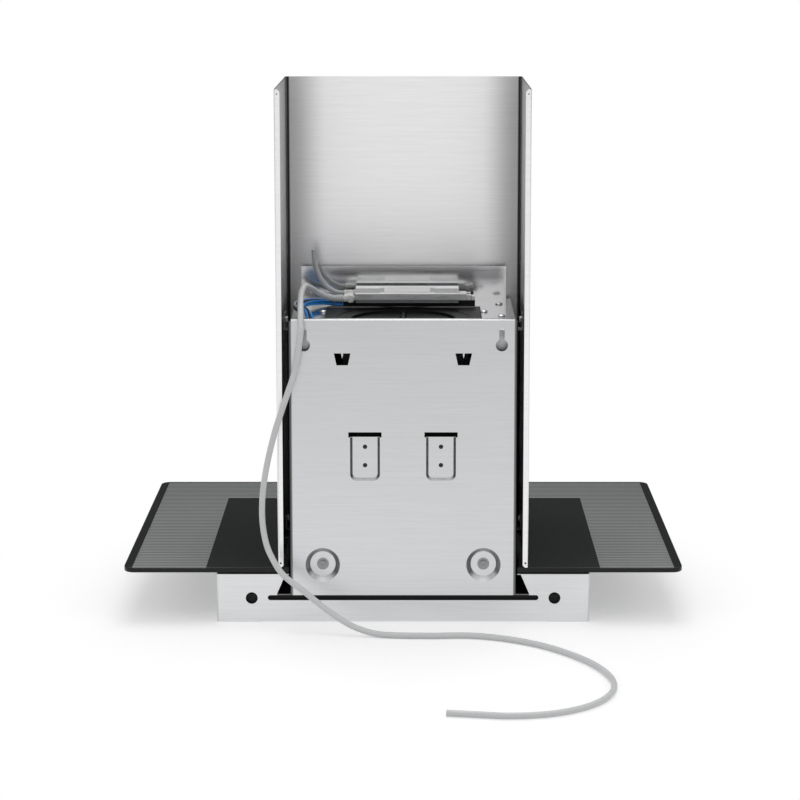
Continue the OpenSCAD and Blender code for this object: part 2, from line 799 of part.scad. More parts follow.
module glass_gasket() color([0.05, 0.05, 0.05]) difference() {
    rim = 1;
    round_slab(canopy_w - 2 * rim, rim, canopy_d - 2 * rim, gasket_t, canopy_r, canopy_h);
    deep_box(canopy_w - 2 * rim - 2 * gasket_w, rim + gasket_w, canopy_d - 2 * rim - 2 * gasket_w,
        canopy_h - cut, gasket_t + 2 * cut);
    housing_pass(canopy_h - cut, gasket_t + 2 * cut);
}

module glass_studs() color([0.75, 0.76, 0.77])
    for (depth = stud_depths) both_sides(stud_x) translate([0, back(depth), canopy_h]) {
        cylinder(h = gasket_t, r = stud_disc_r);
        translate([0, 0, -stud_len]) cylinder(h = stud_len + 0.5, r = stud_r);
    }

module stud_nuts() color([0.70, 0.71, 0.72])
    for (depth = stud_depths) both_sides(stud_x)
        translate([0, back(depth), canopy_h - sheet_t - nut_h]) difference() {
            cylinder(h = nut_h, r = nut_r, $fn = 6);
            translate([0, 0, -cut]) cylinder(h = nut_h + 2 * cut, r = stud_r + run_gap);
        }

// Blower housing

// Plan of a box with its rear corners rounded, rear edge at a depth
module rear_round(w, depth, d, r) {
    translate([-w / 2, back(depth + d)]) square([w, d - r]);
    translate([-w / 2 + r, back(depth + r)]) square([w - 2 * r, r]);
    for (side = [-1, 1]) translate([side * (w / 2 - r), back(depth + r)]) circle(r);
}

module keyhole_outline() {
    circle(keyhole_r);
    translate([-keyhole_slot / 2, 0]) square([keyhole_slot, keyhole_slot_len - keyhole_slot / 2]);
    translate([0, keyhole_slot_len - keyhole_slot / 2]) circle(keyhole_slot / 2);
}

module window_outline() {
    foot = window_w - window_taper;
    polygon([[-foot / 2, 0], [foot / 2, 0], [window_w / 2, window_h], [-window_w / 2, window_h]]);
}

// A U shaped pocket, open in the photographed way along its top
module pocket_outline(inset) {
    w = pocket_w - 2 * inset;
    r = pocket_r - inset;
    translate([-w / 2, inset + r]) square([w, pocket_h - inset - r]);
    translate([-w / 2 + r, inset]) square([w - 2 * r, r]);
    for (side = [-1, 1]) translate([side * (w / 2 - r), inset + r]) circle(r);
}

module pocket_shell() difference() {
    linear_extrude(pocket_deep + sheet_t) pocket_outline(0);
    translate([0, 0, -cut]) linear_extrude(pocket_deep + cut) pocket_outline(sheet_t);
    pocket_slot_cut();
    for (rise = rivet_rises) translate([0, rise, 0])
        cylinder(h = pocket_deep + 2 * sheet_t, r = rivet_r / 2 + run_gap);
}

module pocket_slot_cut() {
    translate([-pocket_w / 2 - 1, pocket_h - pocket_slot, -cut])
        cube([pocket_w + 2, pocket_slot, pocket_deep + sheet_t + 2 * cut]);
}

module cup_shell() difference() {
    cylinder(h = cup_deep + sheet_t, r1 = cup_r + sheet_t / 2, r2 = cup_floor_r + sheet_t / 2);
    cylinder(h = cup_deep, r1 = cup_r, r2 = cup_floor_r);
    translate([0, 0, -cut]) cylinder(h = cut + 0.01, r = cup_r);
    cylinder(h = cup_deep + 2 * sheet_t, r = cup_hole_r);
}

// The back plate's top edge, bent forwards into a lip
module top_lip_bend(w) {
    intersection() {
        translate([-w / 2, back(lip_bend), housing_top_z - lip_bend]) rotate([0, 90, 0])
            ring(lip_bend, lip_bend - sheet_t, w);
        deep_box(w, -cut, lip_bend + cut, housing_top_z - lip_bend, lip_bend + cut);
    }
    deep_box(w, lip_bend, top_lip - lip_bend, housing_top_z - sheet_t, sheet_t);
}

module housing_wrap() color([0.80, 0.81, 0.82]) {
    difference() {
        translate([0, 0, pan_z]) linear_extrude(back_plate_h) difference() {
            rear_round(housing_w, 0, wrap_d, bend_r);
            rear_round(housing_w - 2 * sheet_t, sheet_t, wrap_d, bend_r - sheet_t);
        }
        deep_box(housing_w + 2 * cut, panel_back - 0.2, housing_d, flange_top_z,
            top_drop + 2 * sheet_t);
        deep_box(housing_w + 2 * cut, -cut, housing_d, housing_top_z - lip_bend, lip_bend + cut);
        for (side = [-1, 1]) {
            at_depth(-cut, side * keyhole_span / 2, pan_z + keyhole_rise)
                linear_extrude(sheet_t + 2 * cut) keyhole_outline();
            at_depth(-cut, side * window_span / 2, pan_z + window_rise)
                linear_extrude(sheet_t + 2 * cut) window_outline();
            at_depth(-cut, side * pocket_span / 2, pan_z + pocket_rise) {
                linear_extrude(sheet_t + 2 * cut) pocket_outline(sheet_t / 2);
                translate([0, 0, cut]) pocket_slot_cut();
            }
            at_depth(-cut, side * cup_span / 2, pan_z + cup_rise)
                cylinder(h = sheet_t + 2 * cut, r = cup_r);
        }
    }
    for (side = [-1, 1]) {
        at_depth(0, side * pocket_span / 2, pan_z + pocket_rise) pocket_shell();
        at_depth(0, side * cup_span / 2, pan_z + cup_rise) cup_shell();
        at_depth(0, side * window_span / 2, pan_z + window_rise) linear_extrude(sheet_t)
            polygon([[-1.2, window_h + 0.5], [-1.2, window_h - 2], [0, window_h - tab_drop],
                [1.2, window_h - 2], [1.2, window_h + 0.5]]);
    }
    top_lip_bend(housing_w - 2 * bend_r);
    for (side = [-1, 1]) {
        difference() {
            deep_box(top_flange, panel_back, wrap_d - panel_back, flange_top_z - sheet_t, sheet_t,
                side * (housing_w - top_flange) / 2);
            translate([grommet_x, back(grommet_depth), flange_top_z - 2 * sheet_t])
                cylinder(h = 3 * sheet_t, r = grommet_r);
        }
        deep_box(side_flange, wrap_d - sheet_t, sheet_t, pan_z, flange_top_z - pan_z,
            side * (housing_w - side_flange) / 2);
        deep_box(foot_w + sheet_t, foot_gap, wrap_d - foot_gap, pan_z, sheet_t,
            side * (housing_w + foot_w - sheet_t) / 2);
    }
}

module housing_front() color([0.84, 0.85, 0.86]) {
    deep_box(housing_w, wrap_d, sheet_t, pan_z, panel_top_z - pan_z);
    deep_box(front_upstand_w, wrap_d, sheet_t, panel_top_z - 0.5, front_top_z - panel_top_z + 0.5);
}

module housing_top() color([0.78, 0.79, 0.80]) difference() {
    deep_box(housing_w - 0.4, panel_back, wrap_d - panel_back - 0.2, flange_top_z, sheet_t);
    deep_box(outlet_open_w, panel_back - cut, outlet_open_front - panel_back + cut,
        flange_top_z - cut, sheet_t + 2 * cut);
    translate([grommet_x, back(grommet_depth), flange_top_z - cut])
        cylinder(h = sheet_t + 2 * cut, r = grommet_r - grommet_wall);
    for (depth = panel_screw_depths) both_sides(panel_screw_x)
        translate([0, back(depth), flange_top_z - cut])
            cylinder(h = sheet_t + 2 * cut, r = screw_r + run_gap);
    collar_screw_holes(flange_top_z - cut, sheet_t + 2 * cut);
}

module collar_screw_holes(z, h) {
    for (depth = collar_screw_depths) both_sides(collar_screw_x) translate([0, back(depth), z])
        cylinder(h = h, r = screw_r + run_gap);
}

module housing_screws() color([0.66, 0.67, 0.68])
    for (depth = panel_screw_depths) both_sides(panel_screw_x)
        translate([0, back(depth), panel_top_z])
            pan_screw(screw_head_r, screw_head_h, screw_r, sheet_t);

module hook_plates() color([0.60, 0.61, 0.62]) for (side = [-1, 1]) {
    screen_w = housing_w / 2 - sheet_t - screen_in;
    deep_box(screen_w, screen_depth, sheet_t, screen_foot_z, screen_h,
        side * (screen_in + screen_w / 2));
    at_depth(pocket_deep + sheet_t, side * pocket_span / 2, pan_z + pocket_rise) difference() {
        translate([-pocket_w / 2, 4, 0]) cube([pocket_w, pocket_h - pocket_slot - 4, hook_plate_t]);
        for (rise = rivet_rises) translate([0, rise, -cut])
            cylinder(h = hook_plate_t + 2 * cut, r = rivet_r / 2 + run_gap);
    }
}

module pocket_rivets() color([0.72, 0.73, 0.74]) for (side = [-1, 1], rise = rivet_rises)
    at_depth(pocket_deep, side * pocket_span / 2, pan_z + pocket_rise + rise) {
        translate([0, 0, -1]) cylinder(h = 1, r1 = rivet_r * 0.7, r2 = rivet_r);
        cylinder(h = sheet_t + hook_plate_t, r = rivet_r / 2);
        translate([0, 0, sheet_t + hook_plate_t]) cylinder(h = 1.2, r = rivet_r * 0.9);
    }

module cup_screws() color([0.74, 0.75, 0.76]) for (side = [-1, 1])
    at_depth(cup_deep, side * cup_span / 2, pan_z + cup_rise) {
        difference() {
            union() {
                translate([0, 0, -1]) cylinder(h = 1, r = cup_screw_r);
                translate([0, 0, -3.6]) cylinder(h = 2.8, r = cup_screw_r * 0.6);
            }
            translate([-0.6, -cup_screw_r * 0.4, -3.6 - cut]) cube([1.2, cup_screw_r * 0.8, cut + 1]);
            translate([-cup_screw_r * 0.4, -0.6, -3.6 - cut]) cube([cup_screw_r * 0.8, 1.2, cut + 1]);
        }
        translate([0, 0, -0.5]) cylinder(h = sheet_t + 9, r = cup_hole_r - 2 * run_gap);
    }

// Outlet and damper

module outlet_collar() color([0.07, 0.07, 0.08]) difference() {
    flange_z = flange_top_z - outlet_flange_t;
    union() {
        deep_box(outlet_open_w + 2 * outlet_margin, panel_back,
            outlet_open_front + outlet_margin - panel_back, flange_z, outlet_flange_t);
        at_outlet(flange_top_z - 0.2) ring(ring_r, ring_r - ring_w, ring_h + 0.2);
        at_outlet(throat_z) cylinder(h = throat_h, r = throat_out_r);
    }
    at_outlet(damper_z - flap_t / 2 - fit_gap) cylinder(h = throat_h, r = throat_r);
    at_outlet(throat_z - cut) cylinder(h = 2 * throat_h, r = throat_r - seat_w);
    at_outlet(throat_z - cut)
        cylinder(h = cut + throat_h - damper_drop - flap_t / 2 - fit_gap - seat_t, r = throat_r);
    at_outlet(damper_z) rotate([90, 0, 0])
        cylinder(h = 2 * throat_out_r + 2, r = damper_pin_r + run_gap, center = true);
    collar_screw_holes(flange_z - cut, outlet_flange_t + 2 * cut);
}

module at_outlet(z) translate([0, back(outlet_depth), z]) children();

module collar_screws() color([0.66, 0.67, 0.68])
    for (depth = collar_screw_depths) both_sides(collar_screw_x)
        translate([0, back(depth), panel_top_z])
            pan_screw(screw_head_r, screw_head_h, screw_r, panel_top_z - neck_top_z + 2);

module damper_pin() color([0.75, 0.76, 0.77])
    at_outlet(damper_z) rotate([90, 0, 0])
        cylinder(h = 2 * throat_out_r - 2, r = damper_pin_r, center = true);

// One half disc, on the +x side, with its two knuckles round the pin
module damper_flap() color([0.13, 0.13, 0.14]) difference() {
    union() {
        intersection() {
            translate([0, 0, -flap_t / 2]) cylinder(h = flap_t, r = flap_r);
            translate([knuckle_r + 0.8, -flap_r, -flap_t]) cube([flap_r, 2 * flap_r, 2 * flap_t]);
        }
        for (start = knuckle_starts) translate([0, start, 0]) {
            rotate([-90, 0, 0]) cylinder(h = knuckle_len, r = knuckle_r);
            translate([0, 0, -flap_t / 2]) cube([knuckle_r + 2, knuckle_len, flap_t]);
        }
        translate([flap_r * 0.42, -flap_r * 0.6, flap_t / 2 - 0.1]) cube([1.6, flap_r * 1.2, 2.1]);
    }
    rotate([90, 0, 0]) cylinder(h = 3 * flap_r, r = damper_pin_r + run_gap, center = true);
}

module damper_flap_left() at_outlet(damper_z) damper_flap();

module damper_flap_right() at_outlet(damper_z) rotate([0, 0, 180]) damper_flap();

// Blower

// The spiral wall seen from the front, from the tongue round to the neck's left side
function spiral(inset) = [for (i = [0 : spiral_steps])
    let (share = i / spiral_steps, a = tongue_angle - spiral_sweep * share,
        r = tongue_r + (spiral_end_r - tongue_r) * share - inset)
    [fan_x + r * cos(a), fan_z + r * sin(a)]];

module volute_outline(inset, top) {
    polygon(concat(spiral(inset), [
        [-neck_half + inset, top], [neck_half - inset, top], [neck_half - inset, neck_joint_z]
    ]));
}

module volute_body() color([0.55, 0.56, 0.57]) {
    difference() {
        at_depth(volute_back) linear_extrude(volute_len) volute_outline(0, neck_top_z);
        at_depth(volute_back + volute_wall) linear_extrude(volute_len - 2 * volute_wall)
            volute_outline(volute_wall, neck_top_z + cut);
        at_depth(volute_front - 2 * volute_wall) linear_extrude(3 * volute_wall)
            volute_outline(volute_wall, neck_top_z - 6);
        at_depth(volute_back - cut, fan_x, fan_z) cylinder(h = volute_wall + 2 * cut, r = motor_r + 1);
        motor_screw_places(volute_back - cut)
            cylinder(h = volute_wall + 2 * cut, r = motor_screw_r + run_gap);
    }
    difference() {
        deep_box(outlet_open_w + 2 * outlet_margin, volute_back, volute_len, neck_top_z - 0.01,
            neck_plate_t);
        at_outlet(neck_top_z - cut) cylinder(h = neck_plate_t + 2 * cut, r = throat_out_r + fit_gap);
        collar_screw_holes(neck_top_z - cut, neck_plate_t + 2 * cut);
    }
}

module motor_screw_places(depth) {
    for (k = [0 : 2]) at_depth(depth, fan_x, fan_z)
        rotate([0, 0, 90 + 120 * k]) translate([motor_r + 7, 0, 0]) children();
}

module volute_front_plate() color([0.57, 0.58, 0.59]) difference() {
    union() {
        at_depth(volute_front) linear_extrude(volute_wall) volute_outline(0, neck_top_z);
        at_depth(volute_front, fan_x, fan_z) cylinder(h = inlet_lip, r = inlet_r + 3);
    }
    at_depth(volute_front - cut, fan_x, fan_z) cylinder(h = inlet_lip + 2 * cut, r = inlet_r);
}

module blower_spacers() color([0.68, 0.69, 0.70]) difference() {
    spacer_z = neck_top_z + neck_plate_t;
    for (depth = collar_screw_depths) both_sides(collar_screw_x)
        translate([0, back(depth), spacer_z])
            cylinder(h = flange_top_z - outlet_flange_t - spacer_z, r = spacer_r);
    collar_screw_holes(spacer_z - cut, throat_h);
}

module impeller() color([0.45, 0.46, 0.47]) {
    end_ring = 2;
    for (start = [0, impeller_len - end_ring]) at_depth(impeller_back + start, fan_x, fan_z)
        ring(impeller_r, impeller_r - blade_deep, end_ring);
    at_depth(impeller_back, fan_x, fan_z) for (k = [0 : blade_count - 1])
        rotate([0, 0, 360 * k / blade_count]) translate([impeller_r - blade_deep + 0.6, 0, 0.5])
            rotate([0, 0, 35]) translate([0, -blade_t / 2, 0])
                cube([blade_deep - 2, blade_t, impeller_len - 1]);
    at_depth(hub_web_depth, fan_x, fan_z) difference() {
        union() {
            cylinder(h = web_t, r = impeller_r - blade_deep + 2);
            translate([0, 0, -hub_len / 2]) cylinder(h = hub_len, r = hub_r);
        }
        translate([0, 0, -hub_len]) cylinder(h = 2 * hub_len, r = shaft_r + run_gap);
    }
}

module motor_shaft() color([0.72, 0.73, 0.74]) {
    at_depth(motor_back + motor_bore_start + 0.5, fan_x, fan_z)
        cylinder(h = shaft_end - motor_back - motor_bore_start - 0.5, r = shaft_r);
    at_depth(hub_web_depth + hub_len / 2 + run_gap, fan_x, fan_z)
        cylinder(h = 5, r = 2 * shaft_r, $fn = 6);
}

module motor_shell() color([0.30, 0.31, 0.33]) difference() {
    union() {
        at_depth(motor_back, fan_x, fan_z) cylinder(h = motor_len, r = motor_r);
        at_depth(volute_back - motor_flange_t, fan_x, fan_z)
            cylinder(h = motor_flange_t, r = motor_flange_r);
    }
    at_depth(motor_back + motor_bore_start, fan_x, fan_z)
        cylinder(h = motor_len, r = bearing_r + run_gap);
    motor_screw_places(volute_back - motor_flange_t - cut)
        cylinder(h = motor_flange_t + 2 * cut, r = motor_screw_r + run_gap);
    for (k = [0 : 11]) at_depth(motor_back - cut, fan_x, fan_z) rotate([0, 0, 30 * k])
        translate([motor_r * 0.62, 0, 0]) cylinder(h = cut + 2, r = 3.2, $fn = 24);
}

module motor_bearings() color([0.78, 0.79, 0.80]) for (start = bearing_starts)
    at_depth(motor_back + start, fan_x, fan_z) ring(bearing_r, shaft_r + run_gap, bearing_len);

module motor_screws() color([0.66, 0.67, 0.68]) motor_screw_places(volute_back - motor_flange_t)
    mirror([0, 0, 1]) pan_screw(2 * motor_screw_r, 2, motor_screw_r, motor_flange_t + volute_wall);

module capacitor() color([0.88, 0.88, 0.86])
    translate([capacitor_x, back(capacitor_depth), capacitor_z]) {
        cylinder(h = capacitor_h, r = capacitor_r);
        for (side = [-1, 1]) translate([side * 6 - 1.5, -0.4, capacitor_h - 0.2]) cube([3, 0.8, 7]);
    }

module capacitor_clip() color([0.55, 0.56, 0.58]) {
    band_r = capacitor_r + fit_gap;
    translate([capacitor_x, back(capacitor_depth), capacitor_z + capacitor_h * 0.4]) difference() {
        union() {
            cylinder(h = clip_h, r = band_r + clip_t);
            translate([-capacitor_r, -band_r - clip_t, 0]) cube([2 * capacitor_r, clip_t + 2, clip_h]);
        }
        translate([0, 0, -cut]) cylinder(h = clip_h + 2 * cut, r = band_r);
    }
}

// Chimney cover

module chimney_outline() {
    difference() {
        translate([0, back(chimney_d / 2)]) round_rect(chimney_w, chimney_d, chimney_r);
        translate([0, back(chimney_d / 2)]) round_rect(chimney_w - 2 * chimney_t,
            chimney_d - 2 * chimney_t, chimney_r - chimney_t);
        translate([-chimney_w / 2 + return_w, wall_y - 2 * chimney_t])
            square([chimney_w - 2 * return_w, 3 * chimney_t]);
    }
}

module return_corner(z, turn) {
    inner = chimney_w / 2 - return_w;
    for (side = [-1, 1]) at_depth(-cut, 0, z) linear_extrude(chimney_t + 2 * cut)
        polygon([
            [side * (inner - cut), turn * cut], [side * (inner + return_chamfer + cut), turn * cut],
            [side * (inner - cut), -turn * (return_chamfer + cut)]
        ]);
}

module chimney_cover() color([0.80, 0.81, 0.82]) difference() {
    hole_in = 6;
    translate([0, 0, glass_top]) linear_extrude(chimney_h) chimney_outline();
    return_corner(glass_top, -1);
    return_corner(chimney_top_z, 1);
    for (z = [glass_top + hole_in, chimney_top_z - hole_in]) both_sides((chimney_w - return_w) / 2)
        at_depth(-cut, 0, z) cylinder(h = chimney_t + 2 * cut, r = 1.3, $fn = 32);
}

module chimney_brackets() color([0.60, 0.61, 0.62])
    for (rise = bracket_rises, side = [-1, 1]) bracket_piece(side, glass_top + rise);

module bracket_piece(side, z) {
    inner = housing_w / 2;
    outer = chimney_w / 2 - chimney_t;
    depth = bracket_depth - bracket_w / 2;
    deep_box(sheet_t, depth, bracket_w, z, bracket_h, side * (inner + sheet_t / 2));
    deep_box(outer - inner, depth, bracket_w, z, sheet_t, side * (inner + outer) / 2);
    deep_box(sheet_t, depth, bracket_w, z, bracket_h, side * (outer - sheet_t / 2));
}

module chimney_screws() color([0.72, 0.73, 0.74])
    for (rise = bracket_rises, side = [-1, 1])
        translate([0, back(bracket_depth), glass_top + rise + bracket_h * 0.6]) {
            translate([side * (housing_w / 2 + sheet_t), 0, 0]) rotate([0, side * 90, 0])
                pan_screw(screw_head_r - 0.5, screw_head_h, screw_r, 0);
            translate([side * (chimney_w / 2 - chimney_t - sheet_t), 0, 0]) rotate([0, -side * 90, 0])
                cylinder(h = 3, r = 4, $fn = 6);
        }

// Control box

module box_block(w, d, z, h, inset = 0) {
    deep_box(w - 2 * inset, box_back + inset, d - 2 * inset, z, h, -box_x);
}

module control_box() color([0.42, 0.43, 0.44]) difference() {
    box_block(box_w, box_d, box_z, box_h - lid_t - fit_gap, lid_t + fit_gap);
    box_block(box_w, box_d, box_z + box_wall, box_h, lid_t + fit_gap + box_wall);
}

module control_box_lid() color([0.86, 0.87, 0.88]) {
    difference() {
        box_block(box_w, box_d, box_z + box_h - lid_t - lid_skirt, lid_skirt + lid_t);
        box_block(box_w, box_d, box_z + box_h - lid_t - lid_skirt - cut, lid_skirt + cut, lid_t);
    }
    for (depth = [box_back, box_back + box_d - lid_rib_w])
        deep_box(box_w, depth, lid_rib_w, box_z + box_h - 0.1, lid_rib_h + 0.1, -box_x);
    deep_box(lid_centre_w, box_back + 1, box_d - 2, box_z + box_h - 0.1, lid_rib_h * 0.8 + 0.1, -box_x);
}

module control_base() color([0.06, 0.06, 0.07]) difference() {
    base_w = box_w + base_left + base_right;
    base_mid = (base_left - base_right) / 2 - box_x;
    base_d = box_back + box_d - base_back;
    deep_box(base_w, base_back, base_d, panel_top_z, base_h, base_mid);
    deep_box(base_w - 2 * base_wall, base_back + base_wall, base_d - 2 * base_wall,
        panel_top_z - cut, base_h - base_wall + cut, base_mid);
}

module ribbed_gland(depth) translate([box_end_x, back(depth), gland_z]) rotate([0, 90, 0]) {
    ribs = 4;
    cylinder(h = gland_len, r = gland_r - gland_rib);
    for (k = [0 : ribs - 1]) translate([0, 0, gland_len * k / ribs + 1])
        cylinder(h = gland_len / ribs / 2, r = gland_r);
}

module cord_glands() color([0.93, 0.93, 0.92]) for (depth = gland_depths) ribbed_gland(depth);

// The big connector, and four small plugs beside it: side offset, depth, size and height
module terminal_plugs() color([0.94, 0.94, 0.93]) {
    right_x = -box_w / 2 - box_x;
    deep_box(10, 198, 30, box_z, 8.6, right_x - 5);
    for (plug = [[-13.5, 224, 10, 6.5], [-13.5, 198, 11, 7], [-19.5, 210, 9, 5], [-19.5, 198, 8, 5.5]])
        deep_box(plug.x < -15 ? 4.5 : 6, plug.y, plug.z, box_z, plug[3], right_x + plug.x);
}

module wire_bundle(slots) {
    for (slot = slots)
        tube(smooth(beside(wire_route, row_place(slot), circle_place(slot))), wire_dia, 8);
}

module wires_blue() color([0.05, 0.44, 0.67]) wire_bundle(blue_slots);

module wires_dark() color([0.16, 0.16, 0.17]) wire_bundle(dark_slots);

module wires_light() color([0.72, 0.72, 0.72]) wire_bundle(light_slots);

module wire_earth() color([0.55, 0.72, 0.15]) wire_bundle(earth_slots);

module wire_grommet() color([0.08, 0.08, 0.08])
    translate([grommet_x, back(grommet_depth), panel_top_z])
        ring(grommet_r, grommet_r - grommet_wall, grommet_h);

module supply_cord() color([0.75, 0.75, 0.76]) tube(smooth(cord_route), cord_dia, 10);

module short_lead() color([0.66, 0.66, 0.67]) tube(smooth(lead_route), lead_dia, 10);

canopy_shell();
underside_panel();
inner_pan();
filter_frame(filter_x);  // filter_frame_left
filter_frame(-filter_x);  // filter_frame_right
filter_mesh(filter_x);  // filter_mesh_left
filter_mesh(-filter_x);  // filter_mesh_right
filter_latch(filter_x);  // filter_latch_left
filter_latch(-filter_x);  // filter_latch_right
lamp_bezels();
lamp_lenses();
lamp_bodies();
button_bezel();
push_button(-2);  // button_power
push_button(-1);  // button_light
push_button(0);  // button_low
push_button(1);  // button_medium
push_button(2);  // button_high
switch_board();
glass_visor();
glass_gasket();
glass_studs();
stud_nuts();
housing_wrap();
housing_front();
housing_top();
housing_screws();
hook_plates();
pocket_rivets();
cup_screws();
outlet_collar();
collar_screws();
damper_pin();
damper_flap_left();
damper_flap_right();
volute_body();
volute_front_plate();
blower_spacers();
impeller();
motor_shaft();
motor_shell();
motor_bearings();
motor_screws();
capacitor();
capacitor_clip();
chimney_cover();
chimney_brackets();
chimney_screws();
control_box();
control_box_lid();
control_base();
cord_glands();
terminal_plugs();
wires_blue();
wires_dark();
wires_light();
wire_earth();
wire_grommet();
supply_cord();
short_lead();
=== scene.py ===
"""Wall mount range hood: finishes, cords, glass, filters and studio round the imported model."""
import math

import bmesh
import bpy
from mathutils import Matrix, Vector


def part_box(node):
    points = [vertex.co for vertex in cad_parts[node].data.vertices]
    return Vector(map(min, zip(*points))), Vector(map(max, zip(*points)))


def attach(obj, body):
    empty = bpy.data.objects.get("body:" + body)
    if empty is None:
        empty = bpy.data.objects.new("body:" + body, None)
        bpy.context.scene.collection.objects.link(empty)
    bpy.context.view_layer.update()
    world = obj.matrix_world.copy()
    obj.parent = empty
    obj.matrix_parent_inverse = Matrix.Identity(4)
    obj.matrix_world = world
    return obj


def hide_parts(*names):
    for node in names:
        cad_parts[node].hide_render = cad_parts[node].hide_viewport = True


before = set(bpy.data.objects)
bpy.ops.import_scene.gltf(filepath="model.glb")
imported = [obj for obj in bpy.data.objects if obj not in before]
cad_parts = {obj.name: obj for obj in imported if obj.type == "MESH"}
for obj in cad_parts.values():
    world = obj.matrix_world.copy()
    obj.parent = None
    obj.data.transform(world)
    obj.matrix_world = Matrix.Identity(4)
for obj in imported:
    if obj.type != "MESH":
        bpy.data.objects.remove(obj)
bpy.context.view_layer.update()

bl_info = {
    "name": "Wall Mount Range Hood",
    "version": (1, 0, 0),
    "blender": (4, 5, 0),
    "location": "View3D > Sidebar > Range Hood",
    "description": "Builds the finishes, cords, glass and studio of a wall mount range hood",
    "category": "Add Mesh",
}

MM = 0.001

# Middle line of the supply cord in mm, from its gland to the bare end, as in the part's source
CORD_ROUTE = (
    (84, 70, 411.7), (96, 70, 411.7), (107, 71, 414.7), (118, 76, 420.7), (126.4, 88, 428.2),
    (134.5, 127, 437.5), (137, 178, 436), (136, 224, 430.8), (135.2, 239, 425.8),
    (134.6, 251, 418.5), (134.3, 260, 407.5), (134.3, 264.5, 394.5), (141.5, 265.5, 348),
    (156.5, 267, 302), (170.3, 269, 259.5), (182.5, 270, 204.7), (186.5, 273, 157),
    (182.1, 278, 119.6), (172, 283, 95), (157.5, 289, 75), (130, 298, 55.3), (99.5, 306, 32.6),
    (69.1, 314, 14.7), (39, 320, 5.6), (8.6, 325, 4.2), (-37, 327, 4.2), (-82, 325.5, 4.2),
    (-115.4, 332.8, 4.2), (-148.1, 347.7, 4.2), (-180.1, 370, 4.2), (-211.1, 402.9, 4.2),
    (-236, 440, 4.2), (-252, 477, 4.2), (-260, 518, 4.2), (-256, 557, 4.2), (-240, 592, 4.2),
    (-212, 621, 4.2), (-172, 641, 4.2), (-120, 647, 4.2), (-53, 636.5, 4.2),
)

# Middle line of the short second lead
LEAD_ROUTE = (
    (84, 18, 411.7), (90.5, 18, 411.9), (100, 18, 415), (108.7, 18, 421.2), (115.8, 18, 430),
    (121, 18, 440.6), (124.4, 18, 452), (126, 18, 463), (126.4, 18, 473.5),
)

# Middle line of the bundle of wires, from the base under the control box to the grommet
WIRE_ROUTE = (
    (84, 46, 402.4), (92, 46, 402.4), (104, 50, 404), (118, 60, 406.3), (130, 77, 408.3),
    (138, 98, 409.9), (142, 122, 410.9), (141.5, 146, 411.4), (137, 163, 410.9),
    (131.5, 176, 408.9), (128.6, 184, 403.9), (128, 187.3, 396.4), (128, 188, 384.4),
    (128, 188, 368.4),
)
# At its start the bundle lies in two rows, and at the grommet on a circle, in mm
WIRE_PITCH = 5
WIRE_ROW = 2
WIRE_CIRCLE = 5.2


def hex_colour(code):
    """Linear RGBA of an sRGB hex value."""
    parts = [int(code[i:i + 2], 16) / 255 for i in (0, 2, 4)]
    return [p / 12.92 if p <= 0.04045 else ((p + 0.055) / 1.055) ** 2.4 for p in parts] + [1.0]


def rgba(colour):
    """A colour setting as opaque RGBA."""
    return [*colour, 1.0]


def feed(node, name, value):
    """Gives a node's input a value, another node's socket, or a node's first output in use."""
    if isinstance(value, bpy.types.Node):
        value = next(socket for socket in value.outputs if socket.enabled)
    if isinstance(value, bpy.types.NodeSocket):
        node.id_data.links.new(value, node.inputs[name])
    else:
        node.inputs[name].default_value = value


def add_node(tree, kind, inputs=None, **settings):
    """Adds a shader node with its settings and inputs."""
    node = tree.nodes.new("ShaderNode" + kind)
    for name, value in settings.items():
        setattr(node, name, value)
    for name, value in (inputs or {}).items():
        feed(node, name, value)
    return node


def empty_tree(owner):
    """The node tree of a new material or world, with nothing in it."""
    owner.use_nodes = True
    owner.node_tree.nodes.clear()
    return owner.node_tree


def new_material(name, inputs):
    """A material with a Principled surface. Returns the material and its shader."""
    material = bpy.data.materials.new(name)
    tree = empty_tree(material)
    shader = add_node(tree, "BsdfPrincipled", inputs)
    add_node(tree, "OutputMaterial", {"Surface": shader})
    return material, shader


def vary(shader, pattern, colour, shade, roughness, relief):
    """Lets a pattern from 0 to 1 change a surface.

    Its tone changes by shade, its roughness between two values, and its height by relief in mm.
    The colour is an sRGB hex value or a linear colour.
    """
    tree = shader.id_data
    if isinstance(colour, str):
        colour = hex_colour(colour)
    tone, gloss = (
        add_node(tree, "MapRange", {
            "Value": pattern, "From Min": 0.25, "From Max": 0.75, "To Min": low, "To Max": high})
        for low, high in ((1 - shade, 1 + shade), roughness))
    feed(shader, "Base Color", add_node(
        tree, "VectorMath", {0: list(colour)[:3], "Scale": tone}, operation="SCALE"))
    feed(shader, "Roughness", gloss)
    if relief:
        feed(shader, "Normal", add_node(
            tree, "Bump", {"Height": pattern, "Strength": 1.0, "Distance": relief * MM}))


def darken(shader, tone):
    """Scales a surface's base colour by a tone from 0 to 1."""
    base = shader.inputs["Base Color"].links[0].from_socket
    feed(shader, "Base Color", add_node(
        shader.id_data, "VectorMath", {0: base, "Scale": tone}, operation="SCALE"))


def grain(tree, size, detail=2.0, stretch=(1, 1, 1)):
    """A noise pattern whose grains are size mm across, drawn out by stretch."""
    spread = add_node(tree, "Mapping", {
        "Vector": add_node(tree, "TexCoord").outputs["Object"],
        "Scale": [1 / (size * MM * s) for s in stretch]})
    return add_node(tree, "TexNoise", {"Vector": spread, "Scale": 1.0, "Detail": detail})


def grained(name, colour, inputs, grains, shade, roughness, relief):
    """A material that varies with a grain pattern of the given size, detail and stretch."""
    material, shader = new_material(name, inputs)
    vary(shader, grain(material.node_tree, *grains), colour, shade, roughness, relief)
    return material


